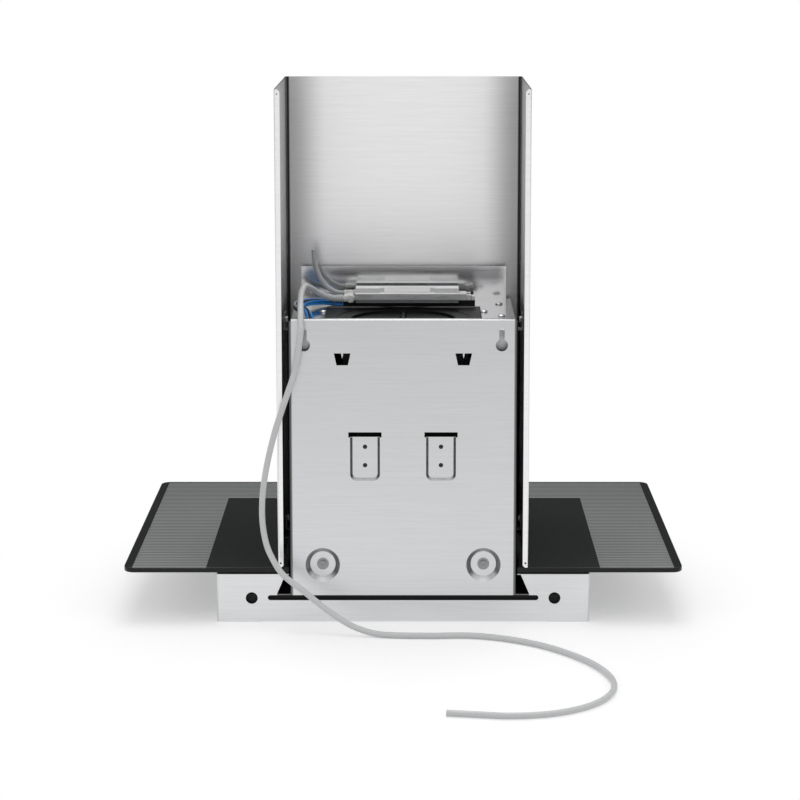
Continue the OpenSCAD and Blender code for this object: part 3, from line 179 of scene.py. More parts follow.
def place_on(tree):
    """The place of a point on its piece, as X, Y and Z."""
    place = add_node(tree, "TexCoord").outputs["Object"]
    return add_node(tree, "SeparateXYZ", {"Vector": place}).outputs


def facing_of(tree):
    """The way that a face points, as X, Y and Z."""
    normal = add_node(tree, "NewGeometry").outputs["True Normal"]
    return add_node(tree, "SeparateXYZ", {"Vector": normal}).outputs


def brush_streaks(tree, width, length):
    """Level streaks of brushing: along X on flat faces, round the walls on upright ones."""
    place = add_node(tree, "TexCoord").outputs["Object"]
    size = add_node(tree, "Math", {0: facing_of(tree)["Z"]}, operation="ABSOLUTE")
    lying = add_node(tree, "Math", {0: size, 1: 0.7}, operation="GREATER_THAN")
    long, fine = 1 / (length * MM), 1 / (width * MM)
    upright, flat = (add_node(tree, "Mapping", {"Vector": place, "Scale": scale})
                     for scale in ((long, long, fine), (long, fine, fine)))
    chosen = add_node(tree, "Mix", {0: lying, 4: upright, 5: flat}, data_type="VECTOR")
    return add_node(tree, "TexNoise", {
        "Vector": chosen, "Scale": 1.0, "Detail": 3.0, "Roughness": 0.65})


def chimney_painted_shade(tree):
    """Tone of the chimney cover, all of it painted shade.

    Outside, all faces but those facing the back are darker. Inside, its side walls are darker,
    its folds nearly black, and its front bright in the middle and darker towards the sides.
    """
    inner_side_shade = 0.6
    lo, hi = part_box("chimney_cover")
    spot, facing = place_on(tree), facing_of(tree)
    aside = add_node(tree, "Math", {0: spot["X"]}, operation="ABSOLUTE")
    inset = add_node(tree, "Math", {0: hi.x, 1: aside}, operation="SUBTRACT")
    # Painted shade: the inner front darkens towards the side walls
    wall = add_node(tree, "MapRange", {
        "Value": inset, "From Min": 0.003, "From Max": 0.06, "To Min": 0.55, "To Max": 1.0},
        interpolation_type="SMOOTHSTEP")
    # Painted shade: the inner folds are drawn nearly black
    fold_shade = add_node(tree, "MapRange", {
        "Value": inset, "From Min": 0.0045, "From Max": 0.006, "To Min": 0.06, "To Max": 1.0})
    front = add_node(tree, "Math", {0: wall, 1: fold_shade}, operation="MULTIPLY")
    lean = add_node(tree, "Math", {0: facing["X"]}, operation="ABSOLUTE")
    upright = add_node(tree, "Math", {0: lean, 1: 0.5}, operation="GREATER_THAN")
    # Painted shade: the inner side walls are drawn darker
    inside = add_node(tree, "Mix", {0: upright, 2: front, 3: inner_side_shade})
    depth = add_node(tree, "Math", {0: spot["Y"], 1: (lo.y + hi.y) / 2}, operation="SUBTRACT")
    along = add_node(tree, "Math", {0: depth, 1: facing["Y"]}, operation="MULTIPLY")
    across = add_node(tree, "Math", {0: spot["X"], 1: facing["X"], 2: along},
                      operation="MULTIPLY_ADD")
    outside = add_node(tree, "Math", {0: across, 1: 0.0}, operation="GREATER_THAN")
    # Painted shade: outside, faces that do not face the back are drawn darker
    outside_shade = add_node(tree, "MapRange", {
        "Value": facing["Y"], "From Min": 0.4, "From Max": 0.6, "To Min": 0.7, "To Max": 1.0})
    return add_node(tree, "Mix", {0: outside, 2: inside, 3: outside_shade})


def housing_painted_shade(tree):
    """Painted shade: the housing's bends, sides and cup flanks are dimmer, and its top darker."""
    lo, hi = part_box("housing_front")
    spot, facing = place_on(tree), facing_of(tree)
    aside, lean = (add_node(tree, "Math", {0: value}, operation="ABSOLUTE")
                   for value in (spot["X"], facing["X"]))
    # Painted shade: side bends, faces turned sideways and the upper part are drawn darker
    bend_shade, flank_shade, height = (
        add_node(tree, "MapRange", {
            "Value": value, "From Min": start, "From Max": end, "To Min": 1.0, "To Max": tone})
        for value, start, end, tone in (
            (aside, hi.x - 0.005, hi.x - 0.004, 0.3), (lean, 0.1, 0.6, 0.4),
            (spot["Z"], lo.z, hi.z, 0.83)))
    tone = add_node(tree, "Math", {0: bend_shade, 1: flank_shade}, operation="MULTIPLY")
    return add_node(tree, "Math", {0: tone, 1: height}, operation="MULTIPLY")


def drawn_steel_painted_shade():
    """Deep-drawn pocket walls, painted shade: dark on the sides, lighter at the foot."""
    material, shader = new_material("drawn_stainless_painted_shade", {"Metallic": 1.0})
    tree = material.node_tree
    vary(shader, grain(tree, 1.2), "E0E0E1", 0.03, (0.22, 0.3), 0.004)
    # Painted shade: faces turned sideways are drawn darker than those facing up
    darken(shader, add_node(tree, "MapRange", {
        "Value": facing_of(tree)["Z"], "From Min": 0.35, "From Max": 0.6,
        "To Min": 0.22, "To Max": 0.6}))
    return material


def brushed_stainless(name, colour, roughness):
    """Stainless sheet brushed on a belt: fine level streaks, and a highlight drawn out across them.

    Returns the material and its shader.
    """
    material, shader = new_material(name, {
        "Metallic": 1.0, "Anisotropic": 0.55, "Anisotropic Rotation": 0.25})
    tree = material.node_tree
    feed(shader, "Tangent", add_node(tree, "Tangent", direction_type="RADIAL", axis="Z"))
    vary(shader, brush_streaks(tree, 1.6, 70), colour, 0.05,
         (roughness - 0.03, roughness + 0.05), 0.012)
    return material, shader


def polished_stainless():
    """Bright-annealed stainless sheet: nearly a mirror, with a faint haze from rolling."""
    material, shader = new_material("polished_stainless", {"Metallic": 1.0})
    vary(shader, brush_streaks(material.node_tree, 2.4, 90), "E4E4E5", 0.03, (0.09, 0.16), 0.004)
    return material


def galvanised_steel():
    """Hot-dip galvanised sheet: dull zinc with its large crystals, in slightly different greys."""
    material, shader = new_material("galvanised_steel", {"Metallic": 1.0})
    tree = material.node_tree
    place = add_node(tree, "TexCoord").outputs["Object"]
    crystals = add_node(tree, "TexVoronoi", {"Vector": place, "Scale": 1 / (9 * MM)})
    tint = add_node(tree, "SeparateColor", {"Color": crystals.outputs["Color"]})
    vary(shader, tint.outputs[0], "B4B6B8", 0.10, (0.34, 0.50), 0)
    return material


def dark_primer_and_shade():
    """Black electrocoat on the inner sheets, dull and even; its black is also painted shade inside.
    """
    return grained("black_electrocoat_and_shade", "1A1B1C", {"IOR": 1.5, "Specular IOR Level": 0.25},
                   (1.5, 3.0), shade=0.1, roughness=(0.5, 0.62), relief=0.01)


def zinc_plated_steel(name="zinc_plated_steel", colour="C3C4C6"):
    """Bright zinc plating on pressed screws and nuts: silvery, a little cloudy."""
    return grained(name, colour, {"Metallic": 1.0},
                   (1.5,), shade=0.07, roughness=(0.20, 0.34), relief=0.004)


def black_polypropylene():
    """Moulded black polypropylene: a soft sheen over a fine spark-eroded texture."""
    return grained("black_polypropylene", "141516", {"IOR": 1.49, "Specular IOR Level": 0.2},
                   (0.8, 4.0), shade=0.12, roughness=(0.42, 0.55), relief=0.02)


def gloss_abs():
    """Black ABS moulding, polished in the mould: glossy and slightly wavy."""
    return grained("gloss_black_abs", "141416", {"IOR": 1.54, "Specular IOR Level": 0.3},
                   (6,), shade=0.08, roughness=(0.14, 0.24), relief=0.01)


def silver_abs():
    """Push buttons in silver-painted ABS: fine metallic flake under a satin top coat."""
    return grained("silver_painted_abs", "B9BBBE",
                   {"Metallic": 0.6, "Coat Weight": 0.4, "Coat Roughness": 0.15},
                   (0.4, 1.0), shade=0.08, roughness=(0.28, 0.38), relief=0)


def white_nylon():
    """Natural white nylon glands and plugs: waxy and softly shining."""
    return grained("white_nylon", "F8F8F5", {"IOR": 1.53},
                   (2.0,), shade=0.03, roughness=(0.36, 0.46), relief=0.01)


def painted_box():
    """Grey powder paint on the control box: dense and even, with a fine orange peel."""
    return grained("grey_powder_paint", "87898B", {"IOR": 1.5},
                   (1.2, 3.0), shade=0.05, roughness=(0.42, 0.54), relief=0.02)


def lid_steel_painted_shade():
    """Zinc-coated control box lid: painted shade darkens its middle between the pressed edges."""
    edge_share, middle_shade = 0.27, 0.42
    material, shader = new_material("zinc_coated_lid_painted_shade", {"Metallic": 1.0})
    tree = material.node_tree
    vary(shader, brush_streaks(tree, 1.2, 40), "F4F5F5", 0.05, (0.24, 0.34), 0.01)
    lo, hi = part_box("control_box_lid")
    off = add_node(tree, "Math", {0: place_on(tree)["Y"], 1: (lo.y + hi.y) / 2},
                   operation="SUBTRACT")
    far = add_node(tree, "Math", {0: off}, operation="ABSOLUTE")
    edge = edge_share * (hi.y - lo.y)
    # Painted shade: the middle between the pressed edges is drawn darker
    darken(shader, add_node(tree, "MapRange", {
        "Value": far, "From Min": edge - MM, "From Max": edge,
        "To Min": middle_shade, "To Max": 1.0}))
    return material


def bare_paper():
    """Blank white label stock: matt, with a very fine tooth."""
    return grained("blank_label_stock", "F6F6F4", {"IOR": 1.45, "Specular IOR Level": 0.3},
                   (0.5, 3.0), shade=0.02, roughness=(0.6, 0.7), relief=0.005)


def blackened_steel():
    """Blackened rivets: a dark oxide with a low shine."""
    return grained("blackened_steel", "2C2D2E", {"Metallic": 0.6},
                   (1.0, 3.0), shade=0.12, roughness=(0.3, 0.42), relief=0.01)


def closed_cell_foam():
    """Black EPDM foam strip: matt, with pores that catch a little light."""
    return grained("closed_cell_foam", "131313", {"IOR": 1.45, "Specular IOR Level": 0.2},
                   (0.7, 3.0), shade=0.3, roughness=(0.85, 0.98), relief=0.08)


def black_rubber():
    """Moulded black rubber of the grommet: matt and a little dusty."""
    return grained("black_rubber", "1D1D1D", {"IOR": 1.5},
                   (1.0, 3.0), shade=0.15, roughness=(0.6, 0.75), relief=0.02)


def pvc_sheath(name, colour, roughness=0.4):
    """Extruded PVC sheath: smooth and softly shining, with faint ripples."""
    return grained(name, colour, {"IOR": 1.53},
                   (3.0,), shade=0.025, roughness=(roughness - 0.06, roughness + 0.06), relief=0.02)


def earth_pvc(green, yellow):
    """Earth wire sheath: yellow PVC with a green stripe drawn along its upper side."""
    material, shader = new_material("earth_pvc", {"IOR": 1.53, "Roughness": 0.4})
    tree = material.node_tree
    normal = add_node(tree, "NewGeometry").outputs["Normal"]
    up = add_node(tree, "SeparateXYZ", {"Vector": normal}).outputs["Z"]
    side = add_node(tree, "Math", {0: up, 1: 0.35}, operation="GREATER_THAN")
    feed(shader, "Base Color", add_node(
        tree, "Mix", {0: side, 6: yellow, 7: green}, data_type="RGBA"))
    return material


def anodised_aluminium():
    """Clear anodised aluminium filter frame: satin, in an even light grey."""
    material, shader = new_material("anodised_aluminium", {"Metallic": 1.0})
    vary(shader, brush_streaks(material.node_tree, 1.2, 50), "BDBEBF", 0.05, (0.38, 0.48), 0.008)
    return material


def expanded_aluminium():
    """Expanded aluminium foil of the grease mesh: bright, and duller in places."""
    return grained("expanded_aluminium", "C4C5C6", {"Metallic": 1.0},
                   (2.0, 3.0), shade=0.10, roughness=(0.25, 0.45), relief=0)


def frosted_lens():
    """Frosted polycarbonate lamp lens: milky, with a soft surface shine."""
    return grained("frosted_polycarbonate", "EDEBE2",
                   {"IOR": 1.58, "Subsurface Weight": 0.4, "Subsurface Scale": 0.004},
                   (1.0,), shade=0.02, roughness=(0.3, 0.42), relief=0.01)


def die_cast():
    """Die-cast lamp body: grey, grainy and dull."""
    return grained("die_cast_zinc", "8D8F92", {"Metallic": 0.9},
                   (0.9, 4.0), shade=0.12, roughness=(0.45, 0.6), relief=0.03)


def circuit_board():
    """Glass-epoxy switch board under green solder mask: smooth with a woven ground."""
    return grained("green_solder_mask", "1E5B36", {"IOR": 1.55},
                   (0.9, 1.0, (1, 1, 4)), shade=0.12, roughness=(0.25, 0.38), relief=0.01)


def fan_plastic():
    """Grey glass-filled polypropylene of the impeller: dull, with flow lines."""
    return grained("glass_filled_polypropylene", "5A5D60", {"IOR": 1.49},
                   (4.0, 4.0, (1, 4, 1)), shade=0.08, roughness=(0.42, 0.56), relief=0.02)


def motor_enamel():
    """Dark enamel on the motor shell: smooth, with a low shine."""
    return grained("dark_motor_enamel", "2F3236", {"IOR": 1.5},
                   (3.0, 3.0), shade=0.08, roughness=(0.34, 0.44), relief=0.015)


def ground_steel():
    """Ground steel of shaft and bearings: bright, with turning lines."""
    return grained("ground_steel", "C0C1C3", {"Metallic": 1.0},
                   (0.8, 2.0, (1, 6, 1)), shade=0.08, roughness=(0.18, 0.3), relief=0)


def capacitor_plastic():
    """White polypropylene can of the capacitor: plain and satin."""
    return grained("white_polypropylene", "DCDCD8", {"IOR": 1.49},
                   (3.0,), shade=0.03, roughness=(0.38, 0.48), relief=0.01)


def printed_glass(settings):
    """Toughened float glass with ceramic print: clear gaps between fired lines, a solid field."""
    material, shader = new_material("printed_glass", {
        "IOR": 1.52, "Specular IOR Level": settings.shine, "Coat IOR": 1.52})
    tree = material.node_tree
    lo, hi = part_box("glass_visor")
    spot, facing = place_on(tree), facing_of(tree)
    side, steep, aside = (add_node(tree, "Math", {0: value}, operation="ABSOLUTE")
                          for value in (spot["X"], facing["Z"], facing["X"]))
    across = add_node(tree, "Math", {0: spot["Y"], 1: settings.stripe_pitch}, operation="DIVIDE")
    turn = add_node(tree, "Math", {0: across}, operation="FRACT")
    line, border, front, narrow, deep, edge, ends = (
        add_node(tree, "Math", {0: value, 1: limit}, operation=test)
        for value, test, limit in (
            (turn, "LESS_THAN", settings.stripe_width / settings.stripe_pitch),
            (side, "GREATER_THAN", hi.x - settings.side_border),
            (spot["Y"], "LESS_THAN", lo.y + settings.front_border),
            (side, "LESS_THAN", settings.field_width / 2),
            (spot["Y"], "GREATER_THAN", hi.y - settings.field_depth),
            (steep, "LESS_THAN", 0.5), (aside, "GREATER_THAN", 0.97)))
    field = add_node(tree, "Math", {0: narrow, 1: deep}, operation="MULTIPLY")
    banded = border
    for mask in (front, field):
        banded = add_node(tree, "Math", {0: banded, 1: mask}, operation="MAXIMUM")
    printed = add_node(tree, "Math", {0: line, 1: banded}, operation="MAXIMUM")
    solid = add_node(tree, "Math", {0: printed, 1: edge}, operation="MAXIMUM")
    ink = add_node(tree, "Mix", {
        0: banded, 6: rgba(settings.line_colour), 7: rgba(settings.field_colour)},
        data_type="RGBA")
    speck = add_node(tree, "MapRange", {
        "Value": grain(tree, 0.6, 3.0), "To Min": 0.85, "To Max": 1.15})
    inked = add_node(tree, "VectorMath", {0: ink, "Scale": speck}, operation="SCALE")
    # Partly painted shade: the clear parts are drawn in the tint over most of what is behind them
    faces = add_node(tree, "Mix", {0: printed, 6: rgba(settings.tint), 7: inked},
                     data_type="RGBA")
    # Painted reflection: the ground edge at the glass's two ends is drawn light
    edges = add_node(tree, "Mix", {
        0: ends, 6: rgba(settings.edge_colour), 7: rgba(settings.end_glint_colour)}, data_type="RGBA")
    feed(shader, "Base Color", add_node(
        tree, "Mix", {0: edge, 6: faces, 7: edges}, data_type="RGBA"))
    for name, low, high in (("Alpha", settings.clear_alpha, 1.0), ("Roughness", 0.05, 0.12)):
        feed(shader, name, add_node(
            tree, "MapRange", {"Value": solid, "To Min": low, "To Max": high}))
    return material


def dress(material, *nodes):
    """Gives CAD nodes their finish."""
    for name in nodes:
        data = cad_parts[name].data
        data.materials.clear()
        data.materials.append(material)


def ride_along(name, data, material, body):
    """Puts a finished mesh or curve into the scene as a piece that rides on a body."""
    data.materials.append(material)
    piece = bpy.data.objects.new(name, data)
    bpy.context.scene.collection.objects.link(piece)
    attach(piece, body)
    return piece


def new_piece(name, data, material, body, replaced=()):
    """Adds a piece and hides the CAD nodes it stands for, if any."""
    piece = ride_along(name, data, material, body)
    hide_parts(*replaced)
    return piece


def mesh_from(name, bm, smooth_angle=30):
    """Ends a bmesh: its faces turned outwards, shaded smooth but for its sharp edges."""
    bmesh.ops.recalc_face_normals(bm, faces=bm.faces)
    limit = math.radians(smooth_angle)
    for edge in bm.edges:
        edge.smooth = len(edge.link_faces) == 2 and edge.calc_face_angle() < limit
    for face in bm.faces:
        face.smooth = True
    mesh = bpy.data.meshes.new(name)
    bm.to_mesh(mesh)
    bm.free()
    return mesh


def bundled(route, start, end):
    """A route moved sideways by an offset that changes evenly between its end stretches."""
    points = [Vector(p) for p in route]
    last = len(points) - 1
    side = (points[1] - points[0]).normalized().cross(Vector((0, 0, 1))).normalized()
    moved = []
    for i, point in enumerate(points):
        heading = (points[min(i + 1, last)] - points[max(i - 1, 0)]).normalized()
        side = (side - side.dot(heading) * heading).normalized()
        offset = start.lerp(end, min(max((i - 1) / (last - 2), 0), 1))
        moved.append(point + offset.x * side + offset.y * side.cross(heading).normalized())
    return moved


def round_curve(name, resolution):
    """An empty curve with a round section and closed ends."""
    curve = bpy.data.curves.new(name, "CURVE")
    curve.dimensions = "3D"
    curve.bevel_depth = 1
    curve.bevel_resolution = resolution
    curve.use_fill_caps = True
    return curve


def cord_curve(name, route, diameter, material, replaced, resolution=4):
    """A round cord on one smooth line through its route's points in mm, straight at both ends."""
    curve = round_curve(name, resolution)
    spline = curve.splines.new("BEZIER")
    spline.resolution_u = 10
    points = [Vector(p) * MM for p in route]
    last = len(points) - 1
    spline.bezier_points.add(last)
    for i, (knot, point) in enumerate(zip(spline.bezier_points, points)):
        before, after = points[max(i - 1, 0)], points[min(i + 1, last)]
        along = (after - before) / 6
        knot.handle_left_type = knot.handle_right_type = "FREE"
        knot.co = point
        knot.radius = diameter / 2
        knot.handle_left = point - ((point - before) / 3 if i in (1, last) else along)
        knot.handle_right = point + ((after - point) / 3 if i in (0, last - 1) else along)
    return new_piece(name, curve, material, "hood", [replaced])


def expanded_metal(name, node, settings):
    """Layers of expanded metal: flat, tilted strands in zigzag rows that meet at their bends."""
    lo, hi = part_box(node)
    centre = (lo.x + hi.x) / 2
    half = settings.mesh_long / 2
    swing = settings.mesh_short / 2
    edge = settings.strand_width / 2
    rise = settings.strand_tilt
    columns = int((hi.x - lo.x) / half)
    rows = int((hi.y - lo.y - 4 * edge) / (2 * swing))
    first_x = centre - columns * half / 2
    first_y = (lo.y + hi.y) / 2 - (rows - 1) * swing
    bm = bmesh.new()
    for layer in range(settings.mesh_layers):
        z = lo.z + rise + (hi.z - lo.z - 2 * rise) * layer / (settings.mesh_layers - 1)
        for row in range(rows):
            before = None
            for column in range(columns + 1):
                turn = 1 if (row + column + layer) % 2 else -1
                x = first_x + half * column
                y = first_y + 2 * swing * row + swing * turn
                # The latch stands in this notch
                if abs(x - centre) < settings.notch_width / 2 and y < lo.y + settings.notch_depth:
                    before = None
                    continue
                ring = [bm.verts.new((x, min(max(y + side * edge, lo.y), hi.y),
                                      z + (side + lift) * rise / 2))
                        for side, lift in ((-1, -1), (1, -1), (1, 1), (-1, 1))]
                if before:
                    for k in range(4):
                        bm.faces.new((before[k], before[(k + 1) % 4], ring[(k + 1) % 4], ring[k]))
                before = ring
    return mesh_from(name, bm, 20)


def pocket_wall(name, x, settings):
    """A wedge that leans in all the way round a pocket's sides and foot, open at its slot."""
    corner_steps, gap = 8, 0.1 * MM
    half, r = settings.pocket_width / 2, settings.pocket_round
    foot, top = settings.pocket_foot + MM, settings.pocket_foot + settings.pocket_height
    line = [((-half, top), (1, 0))]
    for start, centre in ((180, -half + r), (270, half - r)):
        for step in range(corner_steps + 1):
            angle = math.radians(start + 90 * step / corner_steps)
            way = Vector((math.cos(angle), math.sin(angle)))
            line.append(((centre + r * way.x, foot + r + r * way.y), (-way.x, -way.y)))
    line.append(((half, top), (-1, 0)))
    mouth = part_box("housing_wrap")[1].y
    floor = mouth - settings.pocket_depth + gap
    bm = bmesh.new()
    before = None
    for (across, up), (in_x, in_z) in line:
        ring = [bm.verts.new((x + across + in_x * move, y, up + in_z * move))
                for move, y in ((gap, mouth - 3 * gap), (gap, floor),
                                (settings.pocket_draft, floor))]
        if before:
            for k in range(3):
                bm.faces.new((before[k], before[(k + 1) % 3], ring[(k + 1) % 3], ring[k]))
        else:
            bm.faces.new(ring)
        before = ring
    bm.faces.new(before)
    return mesh_from(name, bm)


def add_block(bm, low, high):
    """Adds a box between two corners."""
    made = bmesh.ops.create_cube(bm, size=1)["verts"]
    bmesh.ops.scale(bm, vec=[b - a for a, b in zip(low, high)], verts=made)
    bmesh.ops.translate(bm, vec=[(a + b) / 2 for a, b in zip(low, high)], verts=made)


def clamp_comb(name, settings):
    """Cord clamp over the gland: a solid bar at the box, and three fingers along the cord."""
    fingers, slot = 3, 3.2 * MM
    lo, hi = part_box("cord_glands")
    rear = hi.y + MM
    front = rear - settings.clamp_depth
    pitch = settings.clamp_depth / fingers
    bar_end = lo.x + 9 * MM
    bm = bmesh.new()
    add_block(bm, (lo.x + 2 * MM, front, lo.z), (bar_end, rear, hi.z + 0.2 * MM))
    for finger in range(fingers):
        start = front + pitch * finger + MM
        add_block(bm, (bar_end + 0.1 * MM, start, lo.z + MM),
                  (hi.x - 1.5 * MM, start + pitch - slot, hi.z - 0.5 * MM))
    bmesh.ops.bevel(bm, geom=bm.edges[:], offset=0.7 * MM, offset_type="OFFSET", segments=3,
                    profile=0.5, affect="EDGES", material=-1)
    return mesh_from(name, bm)


def length_prop(name, description, default, **limits):
    """A length in metres."""
    return bpy.props.FloatProperty(name=name, description=description, default=default,
                                   unit="LENGTH", subtype="DISTANCE", precision=4, **limits)


def colour_prop(name, description, code):
    """A colour, its default written as an sRGB hex value."""
    return bpy.props.FloatVectorProperty(name=name, description=description, subtype="COLOR",
                                         size=3, min=0, max=1, default=hex_colour(code)[:3])


def share_prop(name, description, default):
    """A share from 0 to 1."""
    return bpy.props.FloatProperty(name=name, description=description, default=default,
                                   min=0, max=1, subtype="FACTOR")


class HoodStageSettings(bpy.types.PropertyGroup):
    """Camera, floor and light."""
    camera_place: bpy.props.FloatVectorProperty(
        name="Camera place", description="Where the camera stands", size=3,
        default=(-0.015, 3.312, 0.9157), unit="LENGTH", subtype="TRANSLATION")
    camera_pitch: bpy.props.FloatProperty(
        name="Camera pitch", description="How far the camera looks down",
        default=math.radians(8.971), unit="ROTATION", subtype="ANGLE")
    camera_lens: bpy.props.FloatProperty(
        name="Lens", description="Focal length on a 36 mm sensor", default=106.08, unit="CAMERA")
    camera_shift: bpy.props.FloatVectorProperty(
        name="Camera shift", description="Shift of the picture, as a share of its width", size=2,
        default=(-0.01786, -0.12))
    floor_colour: colour_prop("Floor colour", "Colour of the studio floor", "E8E8E8")
    floor_lift: share_prop("Floor lift", "Light added to the floor as it is seen", 0.34)
    side_light: share_prop("Side light", "Brightness mirrored from the left and right", 0.25)
    front_light: share_prop("Front light", "Brightness of the dark screen in front", 0.05)
    low_light: share_prop("Low light", "Brightness mirrored from near the horizon", 0.75)
    world_light: share_prop("World light", "Strength of the world on matt surfaces", 0.55)


class HoodGlassSettings(bpy.types.PropertyGroup):
    """Glass visor and its print."""
    notch_width: length_prop("Notch width", "Width of the notch for the housing", 0.3064)
    notch_depth: length_prop("Notch depth", "Depth of the notch for the housing", 0.2672)
    bevel: length_prop("Edge bevel", "Width of the ground edge", 0.0012, min=0.0002, max=0.003)
    corner: length_prop("Corner radius", "Radius of the visor's corners", 0.015, min=0.002)
    stripe_pitch: length_prop("Stripe pitch", "Distance between lines", 0.0085, min=0.002)
    stripe_width: length_prop("Stripe width", "Width of a printed line", 0.005, min=0.001)
    side_border: length_prop("Side border", "Width of the printed side borders", 0.012)
    front_border: length_prop("Front border", "Width of the line at the front edge", 0.003)
    field_width: length_prop("Field width", "Width of the solid black field", 0.528)
    field_depth: length_prop("Field depth", "Depth of the solid black field", 0.393)
    line_colour: colour_prop("Line colour", "Colour of the printed lines", "6E7070")
    field_colour: colour_prop("Field colour", "Colour of the solid field", "2D2E2E")
    # Partly painted shade: this grey stands for the shaded floor seen through the clear glass
    tint: colour_prop("Glass tint", "Colour of the clear glass", "B4B6B6")
    edge_colour: colour_prop("Edge colour", "Colour seen in the ground edge", "101111")
    # Painted reflection: the light colour drawn on the edge at the glass's two ends
    end_glint_colour: colour_prop("End colour", "Colour of the edge at the glass's two ends", "9EA3A2")
    clear_alpha: share_prop("Clear cover", "How much clear glass covers what is behind it", 0.8)
    shine: share_prop("Shine", "Strength of the reflection in the glass", 0.25)


class HoodSteelSettings(bpy.types.PropertyGroup):
    """Sheet metal."""
    colour: colour_prop("Steel colour", "Colour of the canopy's brushed sheet", "DEDFE0")
    # Painted light: the chimney's sheet is drawn brighter than the same sheet on the canopy
    chimney_lit_colour: colour_prop("Chimney colour", "Colour of the chimney cover", "F2F2F3")
    housing_colour: colour_prop("Housing colour", "Colour of the housing", "D8D9DA")
    roughness: share_prop("Steel roughness", "Roughness of the brushed sheet", 0.32)
    pocket_span: length_prop("Pocket span", "Distance between the hook pockets", 0.101)
    pocket_foot: length_prop("Pocket foot", "Height of the pockets above the floor", 0.193)
    pocket_width: length_prop("Pocket width", "Clear width of a hook pocket", 0.04)
    pocket_height: length_prop("Pocket height", "Height of a pocket up to its slot", 0.0595)
    pocket_round: length_prop("Pocket corners", "Radius of a pocket's lower corners", 0.009)
    pocket_depth: length_prop("Pocket depth", "Depth of a hook pocket", 0.004)
    pocket_draft: length_prop("Pocket draft", "How far a pocket's walls lean inwards", 0.0034)


class HoodFilterSettings(bpy.types.PropertyGroup):
    """Expanded metal of the grease filters."""
    mesh_long: length_prop("Mesh length", "Long way of a diamond", 0.010)
    mesh_short: length_prop("Mesh width", "Short way of a diamond", 0.0052)
    strand_width: length_prop("Strand width", "Width of a strand", 0.0015)
    strand_tilt: length_prop("Strand tilt", "How far a strand rises across its width", 0.0006)
    mesh_layers: bpy.props.IntProperty(
        name="Layers", description="Number of layers", default=3, min=2)
    notch_width: length_prop("Notch width", "Width left free round the latch", 0.048)
    notch_depth: length_prop("Notch depth", "Depth left free round the latch", 0.0185)


class HoodCordSettings(bpy.types.PropertyGroup):
    """Cords and wires."""
    cord_diameter: length_prop("Cord diameter", "Diameter of the supply cord", 0.008)
    lead_diameter: length_prop("Lead diameter", "Diameter of the short lead", 0.007)
    wire_diameter: length_prop("Wire diameter", "Diameter of a single wire", 0.0032)
    cord_colour: colour_prop("Cord colour", "Colour of the supply cord", "D6D7D8")
    lead_colour: colour_prop("Lead colour", "Colour of the short lead", "CDCECF")
    sleeve_length: length_prop("Sleeve length", "Length of the supply cord's sleeve", 0.022)
    sleeve_wide: length_prop("Sleeve start", "Diameter of the sleeve at its gland", 0.0116)
    sleeve_narrow: length_prop("Sleeve end", "Diameter of the sleeve's thin end", 0.0096)
    sleeve_rib: length_prop("Sleeve ribs", "Height of the sleeve's ribs", 0.0006)
    sleeve_ribs: bpy.props.IntProperty(
        name="Sleeve rib count", description="Number of ribs", default=6, min=2)
    clamp_depth: length_prop("Clamp depth", "Depth of the white cord clamp", 0.03)
    blue: colour_prop("Blue", "Colour of the blue wires", "1F94EA")


class HoodOperator:
    """What the hood's operators share."""
    bl_options = {"REGISTER", "UNDO"}


class HOOD_OT_camera(HoodOperator, bpy.types.Operator):
    """Camera at the photograph's place, behind the hood and a little above it"""
    bl_idname = "hood.camera"
    bl_label = "Camera"

    def execute(self, context):
        settings = context.scene.hood_stage
        data = bpy.data.cameras.new("camera")
        data.sensor_width = 36
        data.lens = settings.camera_lens
        data.shift_x, data.shift_y = settings.camera_shift
        camera = bpy.data.objects.new("camera", data)
        camera.location = settings.camera_place
        camera.rotation_euler = (math.pi / 2 - settings.camera_pitch, 0, math.pi)
        context.scene.collection.objects.link(camera)
        context.scene.camera = camera
        return {"FINISHED"}


class HOOD_OT_cords(HoodOperator, bpy.types.Operator):
    """Supply cord that lies on the floor, and the short lead that stands inside the chimney"""
    bl_idname = "hood.cords"
    bl_label = "Supply cord and short lead"

    def execute(self, context):
        settings = context.scene.hood_cords
        for name, route, diameter, colour, length, slot in (
                ("supply_cord", CORD_ROUTE, settings.cord_diameter, settings.cord_colour,
                 1.412, "cord_grey"),
                ("short_lead", LEAD_ROUTE, settings.lead_diameter, settings.lead_colour,
                 0.0838, "lead_grey")):
            sheath = pvc_sheath(name + "_pvc", colour)
            piece = cord_curve(name + "_sheath", route, diameter, sheath, name)
        return {"FINISHED"}


class HOOD_OT_sleeve(HoodOperator, bpy.types.Operator):
    """Tapered, ribbed sleeve that guards the supply cord where it leaves its gland"""
    bl_idname = "hood.sleeve"
    bl_label = "Cord sleeve"

    def execute(self, context):
        settings = context.scene.hood_cords
        curve = round_curve("cord_sleeve", 5)
        points = [Vector(p) * MM for p in CORD_ROUTE[:3]]
        first = (points[1] - points[0]).length
        heading = (points[2] - points[1]).normalized()
        steps = 4 * settings.sleeve_ribs
        spline = curve.splines.new("POLY")
        spline.points.add(steps)
        for i, knot in enumerate(spline.points):
            share = i / steps
            along = settings.sleeve_length * share
            if along < first:
                place = points[0].lerp(points[1], along / first)
            else:
                place = points[1] + (along - first) * heading
            width = settings.sleeve_wide + (settings.sleeve_narrow - settings.sleeve_wide) * share
            groove = 0 if i % 4 in (1, 2) else settings.sleeve_rib
            knot.co = (*place, 1)
            knot.radius = width / 2 - groove
        sheath = pvc_sheath("sleeve_pvc", settings.cord_colour, 0.5)
        ride_along("cord_sleeve", curve, sheath, "hood")
        return {"FINISHED"}


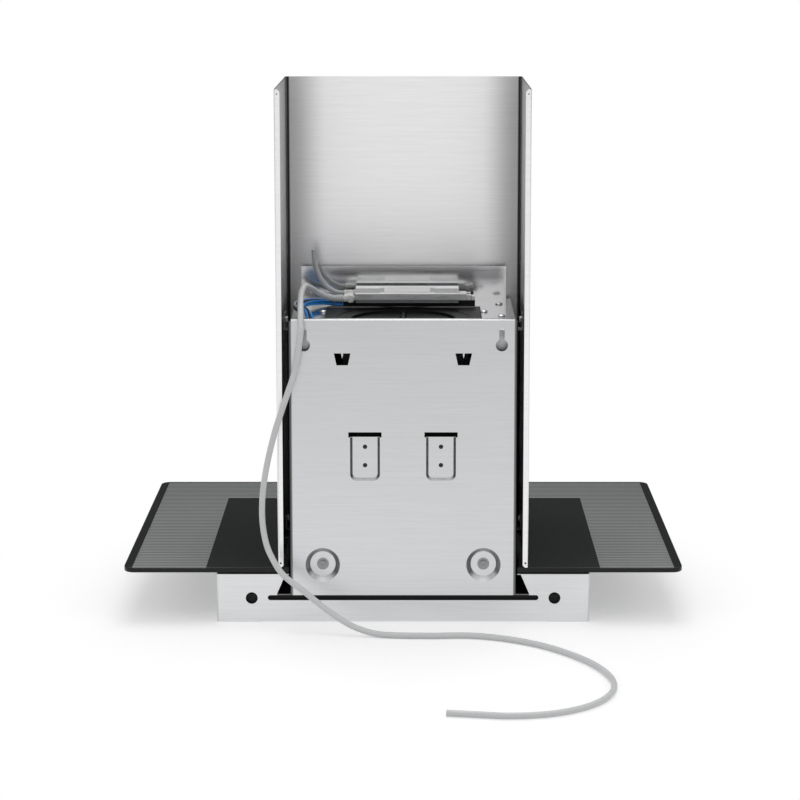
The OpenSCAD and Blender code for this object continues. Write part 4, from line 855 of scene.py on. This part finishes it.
class HOOD_OT_wires(HoodOperator, bpy.types.Operator):
    """Eight single wires that run in one bundle from the control box's base into the housing"""
    bl_idname = "hood.wires"
    bl_label = "Wires"

    def execute(self, context):
        settings = context.scene.hood_cords
        earth = earth_pvc(hex_colour("3F8F3A"), hex_colour("D8C93A"))
        for sheath, node, slot, places in (
                (pvc_sheath("blue_pvc", settings.blue, 0.35), "wires_blue", "wire_blue",
                 (0, 2, 4, 5)),
                (pvc_sheath("dark_pvc", "2A2A2C"), "wires_dark", "wire_dark", (1, 7)),
                (pvc_sheath("light_pvc", "B8B9BA"), "wires_light", "wire_light", (3,)),
                (earth, "wire_earth", "wire_earth", (6,))):
            for place in places:
                row = 1 if place < 4 else -1
                start = Vector((WIRE_PITCH * (place % 4 - 1.5), WIRE_ROW * row))
                angle = math.radians(row * (157.5 - 45 * (place % 4)))
                end = WIRE_CIRCLE * Vector((math.cos(angle), math.sin(angle)))
                route = bundled(WIRE_ROUTE, start, end)
                piece = cord_curve(f"{slot}_{place + 1}", route, settings.wire_diameter,
                                   sheath, node, 2)
        return {"FINISHED"}


class HOOD_OT_glass(HoodOperator, bpy.types.Operator):
    """Flat glass visor with a notch for the housing, ground edges and its print"""
    bl_idname = "hood.glass"
    bl_label = "Glass visor"

    def execute(self, context):
        settings = context.scene.hood_glass
        lo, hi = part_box("glass_visor")
        half = settings.notch_width / 2
        notch = hi.y - settings.notch_depth
        bm = bmesh.new()
        points = [bm.verts.new((x, y, lo.z)) for x, y in (
            (lo.x, lo.y), (hi.x, lo.y), (hi.x, hi.y), (half, hi.y), (half, notch),
            (-half, notch), (-half, hi.y), (lo.x, hi.y))]
        bm.faces.new(points)
        outer = [v for v in points if abs(v.co.x) > half * 2]
        bmesh.ops.bevel(bm, geom=outer, offset=settings.corner, offset_type="OFFSET", segments=8,
                        profile=0.5, affect="VERTICES", material=-1)
        raised = bmesh.ops.extrude_face_region(bm, geom=bm.faces[:])
        bmesh.ops.translate(bm, vec=(0, 0, hi.z - lo.z),
                            verts=[v for v in raised["geom"] if isinstance(v, bmesh.types.BMVert)])
        rims = [e for e in bm.edges if abs(e.verts[0].co.z - e.verts[1].co.z) < 1e-6]
        bmesh.ops.bevel(bm, geom=rims, offset=settings.bevel, offset_type="OFFSET", segments=3,
                        profile=0.5, affect="EDGES", material=-1)
        new_piece("glass_sheet", mesh_from("glass_sheet", bm, 40), printed_glass(settings),
                  "hood", ["glass_visor"])
        dress(closed_cell_foam(), "glass_gasket")
        return {"FINISHED"}


class HOOD_OT_sheet_metal(HoodOperator, bpy.types.Operator):
    """Finishes of the canopy, housing, chimney cover and their brackets"""
    bl_idname = "hood.sheet_metal"
    bl_label = "Sheet metal"

    def execute(self, context):
        settings = context.scene.hood_steel
        # Painted shade: the tone functions darken parts of the chimney and housing sheets
        for name, colour, tone, nodes in (
                ("stainless", settings.colour, None, ("canopy_shell", "underside_panel")),
                ("chimney", settings.chimney_lit_colour, chimney_painted_shade, ("chimney_cover",)),
                ("housing", settings.housing_colour, housing_painted_shade, ("housing_wrap",))):
            sheet, shader = brushed_stainless("brushed_" + name, colour, settings.roughness)
            if tone:
                darken(shader, tone(sheet.node_tree))
            dress(sheet, *nodes)
        dress(polished_stainless(), "housing_front", "housing_top")
        dress(galvanised_steel(), "chimney_brackets", "hook_plates", "capacitor_clip")
        # The black of these inner sheets is also painted shade for the dark inside the housing
        dress(dark_primer_and_shade(), "inner_pan", "volute_body", "volute_front_plate")
        return {"FINISHED"}


class HOOD_OT_pockets(HoodOperator, bpy.types.Operator):
    """Leaning walls of the two pressed hook pockets in the back plate"""
    bl_idname = "hood.pockets"
    bl_label = "Hook pocket walls"

    def execute(self, context):
        settings = context.scene.hood_steel
        wall = drawn_steel_painted_shade()
        for side, name in ((-1, "pocket_wall_right"), (1, "pocket_wall_left")):
            mesh = pocket_wall(name, side * settings.pocket_span / 2, settings)
            new_piece(name, mesh, wall, "hood")
        return {"FINISHED"}


class HOOD_OT_fasteners(HoodOperator, bpy.types.Operator):
    """Finishes of the screws, rivets, studs and nuts"""
    bl_idname = "hood.fasteners"
    bl_label = "Fasteners"

    def execute(self, context):
        dress(blackened_steel(), "pocket_rivets")
        # The screws in the pressed cups get the same plating in a darker grey
        dress(zinc_plated_steel("darker_zinc_steel", "8F9092"), "cup_screws")
        dress(zinc_plated_steel(), "glass_studs", "stud_nuts", "housing_screws",
              "collar_screws", "chimney_screws", "motor_screws", "blower_spacers")
        return {"FINISHED"}


class HOOD_OT_controls(HoodOperator, bpy.types.Operator):
    """Push buttons, their bezel and the switch board"""
    bl_idname = "hood.controls"
    bl_label = "Controls"

    def execute(self, context):
        dress(gloss_abs(), "button_bezel")
        dress(silver_abs(), "button_power", "button_light", "button_low", "button_medium",
              "button_high")
        dress(circuit_board(), "switch_board")
        return {"FINISHED"}


class HOOD_OT_control_box(HoodOperator, bpy.types.Operator):
    """Control box with its lid, base, cord glands, plugs and grommet"""
    bl_idname = "hood.control_box"
    bl_label = "Control box"

    def execute(self, context):
        dress(painted_box(), "control_box")
        dress(lid_steel_painted_shade(), "control_box_lid")
        lo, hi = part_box("control_box_lid")
        middle = (lo + hi) / 2
        half = Vector((0.22 * (hi.x - lo.x), 0.25 * (hi.y - lo.y), 0))
        thickness = Vector((0, 0, hi.z + 0.3 * MM - middle.z))
        bm = bmesh.new()
        add_block(bm, middle - half, middle + half + thickness)
        new_piece("blank_label", mesh_from("blank_label", bm), bare_paper(),
                  "hood")
        dress(black_polypropylene(), "control_base")
        nylon = white_nylon()
        dress(nylon, "cord_glands", "terminal_plugs")
        comb = clamp_comb("cord_clamp", context.scene.hood_cords)
        new_piece(comb.name, comb, nylon, "hood")
        dress(black_rubber(), "wire_grommet")
        return {"FINISHED"}


class HOOD_OT_blower(HoodOperator, bpy.types.Operator):
    """Outlet, damper, fan, motor and capacitor"""
    bl_idname = "hood.blower"
    bl_label = "Blower and outlet"

    def execute(self, context):
        dress(black_polypropylene(), "outlet_collar", "damper_flap_left", "damper_flap_right")
        dress(fan_plastic(), "impeller")
        dress(motor_enamel(), "motor_shell")
        dress(ground_steel(), "motor_shaft", "motor_bearings", "damper_pin")
        dress(capacitor_plastic(), "capacitor")
        return {"FINISHED"}


class HOOD_OT_filters(HoodOperator, bpy.types.Operator):
    """Grease filters: frames, latches and their expanded metal mesh"""
    bl_idname = "hood.filters"
    bl_label = "Grease filters"

    def execute(self, context):
        dress(anodised_aluminium(), "filter_frame_left", "filter_frame_right")
        foil = expanded_aluminium()
        dress(foil, "filter_mesh_left", "filter_mesh_right")
        for side in ("left", "right"):
            node = "filter_mesh_" + side
            mesh = expanded_metal("filter_foil_" + side, node, context.scene.hood_filters)
            new_piece(mesh.name, mesh, foil, "filter_" + side, [node])
        dress(black_polypropylene(), "filter_latch_left", "filter_latch_right")
        return {"FINISHED"}


class HOOD_OT_lamps(HoodOperator, bpy.types.Operator):
    """Two round lamps in the underside"""
    bl_idname = "hood.lamps"
    bl_label = "Lamps"

    def execute(self, context):
        dress(frosted_lens(), "lamp_lenses")
        dress(polished_stainless(), "lamp_bezels")
        dress(die_cast(), "lamp_bodies")
        return {"FINISHED"}


class HOOD_OT_studio(HoodOperator, bpy.types.Operator):
    """White floor, plain surroundings and soft lamps"""
    bl_idname = "hood.studio"
    bl_label = "Studio"

    def execute(self, context):
        settings = context.scene.hood_stage
        scene = context.scene
        scene.view_settings.view_transform = "Standard"
        scene.world = world_light(settings)
        bm = bmesh.new()
        bmesh.ops.create_circle(bm, cap_ends=True, segments=96, radius=8)
        mesh = bpy.data.meshes.new("floor")
        bm.to_mesh(mesh)
        bm.free()
        mesh.materials.append(studio_floor(settings))
        floor = bpy.data.objects.new("floor", mesh)
        scene.collection.objects.link(floor)
        for name, place, aim, size, power in (
                ("lamp_over", (0.0, -0.45, 2.6), (0, 0.1, 0.2), 1.7, 20),
                ("lamp_left", (2.0, 1.2, 1.4), (0, 0, 0.3), 1.2, 6),
                ("lamp_right", (-2.0, 1.2, 1.4), (0, 0, 0.3), 1.2, 6)):
            data = bpy.data.lights.new(name, "AREA")
            data.shape = "SQUARE"
            data.size = size
            data.energy = power
            lamp = bpy.data.objects.new(name, data)
            lamp.location = place
            heading = Vector(aim) - Vector(place)
            lamp.rotation_euler = heading.to_track_quat("-Z", "Y").to_euler()
            scene.collection.objects.link(lamp)
        return {"FINISHED"}


def seen_rays(tree):
    """1 for what the camera sees, in metal or through glass too, and 0 for light elsewhere."""
    path = add_node(tree, "LightPath").outputs
    seen = path["Is Camera Ray"]
    for other in ("Is Glossy Ray", "Is Transmission Ray"):
        seen = add_node(tree, "Math", {0: seen, 1: path[other]}, operation="MAXIMUM")
    return seen


def world_light(settings):
    """White surroundings, weaker as light than as background.

    Metal and glass mirror dim sides, a dim horizon and a dark screen in front of the hood.
    """
    world = bpy.data.worlds.new("studio")
    tree = empty_tree(world)
    way = add_node(tree, "TexCoord").outputs["Generated"]
    heading = add_node(tree, "SeparateXYZ", {"Vector": way}).outputs
    aside = add_node(tree, "Math", {0: heading["X"]}, operation="ABSOLUTE")
    sides, low, front, raised = (
        add_node(tree, "MapRange", {
            "Value": value, "From Min": start, "From Max": end, "To Min": first, "To Max": last},
            interpolation_type="SMOOTHSTEP")
        for value, start, end, first, last in (
            (aside, 0.5, 0.85, 1.0, settings.side_light),
            (heading["Z"], 0.12, 0.45, settings.low_light, 1.0),
            (heading["Y"], -0.65, -0.3, 1.0, 0.0), (heading["Z"], 0.45, 0.75, 1.0, 0.0)))
    screened = add_node(tree, "Math", {0: front, 1: raised}, operation="MULTIPLY")
    screen = add_node(tree, "MapRange", {
        "Value": screened, "To Min": 1.0, "To Max": settings.front_light})
    dimmed = add_node(tree, "Math", {0: sides, 1: low}, operation="MULTIPLY")
    mirrored = add_node(tree, "Math", {0: dimmed, 1: screen}, operation="MULTIPLY")
    glossy = add_node(tree, "LightPath").outputs["Is Glossy Ray"]
    metal = add_node(tree, "Mix", {0: glossy, 2: 1.0, 3: mirrored})
    strength = add_node(tree, "Mix", {0: seen_rays(tree), 2: settings.world_light, 3: metal})
    background = add_node(tree, "Background", {"Color": (1, 1, 1, 1), "Strength": strength})
    add_node(tree, "OutputWorld", {"Surface": background})
    return world


def studio_floor(settings):
    """White paper floor that keeps the hood's shadow.

    It turns plain white further out, and is clear from below.
    """
    material = bpy.data.materials.new("studio_floor")
    tree = empty_tree(material)
    seen = seen_rays(tree)
    paper = add_node(tree, "BsdfDiffuse", {"Color": rgba(settings.floor_colour)})
    strength = add_node(tree, "Math", {0: seen, 1: settings.floor_lift}, operation="MULTIPLY")
    lift = add_node(tree, "Emission", {"Color": (1, 1, 1, 1), "Strength": strength})
    near = add_node(tree, "AddShader", {0: paper, 1: lift})
    far_strength = add_node(tree, "MapRange", {"Value": seen, "To Min": 0.6, "To Max": 1.0})
    far = add_node(tree, "Emission", {"Strength": far_strength})
    place = add_node(tree, "TexCoord").outputs["Object"]
    moved = add_node(tree, "Mapping", {"Vector": place, "Location": (0, -0.2, 0)})
    reach = add_node(tree, "VectorMath", {0: moved}, operation="LENGTH")
    mask = add_node(tree, "MapRange", {"Value": reach, "From Min": 0.35, "From Max": 0.65},
                    interpolation_type="SMOOTHSTEP")
    whole = add_node(tree, "MixShader", {0: mask, 1: near, 2: far})
    back = add_node(tree, "NewGeometry").outputs["Backfacing"]
    clear = add_node(tree, "BsdfTransparent")
    sided = add_node(tree, "MixShader", {0: back, 1: whole, 2: clear})
    add_node(tree, "OutputMaterial", {"Surface": sided})
    return material


class HOOD_PT_panel(bpy.types.Panel):
    """Range hood tools"""
    bl_idname = "HOOD_PT_panel"
    bl_label = "Range Hood"
    bl_space_type = "VIEW_3D"
    bl_region_type = "UI"
    bl_category = "Range Hood"

    def draw(self, context):
        for operator in OPERATORS:
            self.layout.operator(operator.bl_idname)
        for name in SETTINGS:
            group = getattr(context.scene, name)
            for key in group.bl_rna.properties.keys():
                if key not in ("rna_type", "name"):
                    self.layout.prop(group, key)


OPERATORS = (
    HOOD_OT_camera, HOOD_OT_cords, HOOD_OT_sleeve, HOOD_OT_wires, HOOD_OT_glass,
    HOOD_OT_sheet_metal, HOOD_OT_pockets, HOOD_OT_fasteners, HOOD_OT_controls,
    HOOD_OT_control_box, HOOD_OT_blower, HOOD_OT_filters, HOOD_OT_lamps, HOOD_OT_studio,
)
SETTINGS = {
    "hood_stage": HoodStageSettings, "hood_glass": HoodGlassSettings,
    "hood_steel": HoodSteelSettings, "hood_cords": HoodCordSettings,
    "hood_filters": HoodFilterSettings,
}


def register():
    for group in SETTINGS.values():
        bpy.utils.register_class(group)
    for name, group in SETTINGS.items():
        setattr(bpy.types.Scene, name, bpy.props.PointerProperty(type=group))
    for operator in OPERATORS:
        bpy.utils.register_class(operator)
    bpy.utils.register_class(HOOD_PT_panel)


def unregister():
    bpy.utils.unregister_class(HOOD_PT_panel)
    for operator in reversed(OPERATORS):
        bpy.utils.unregister_class(operator)
    for name, group in SETTINGS.items():
        delattr(bpy.types.Scene, name)
        bpy.utils.unregister_class(group)


def main():
    register()
    for operator in OPERATORS:
        package, name = operator.bl_idname.split(".")
        getattr(getattr(bpy.ops, package), name)()


if __name__ == "__main__":
    main()
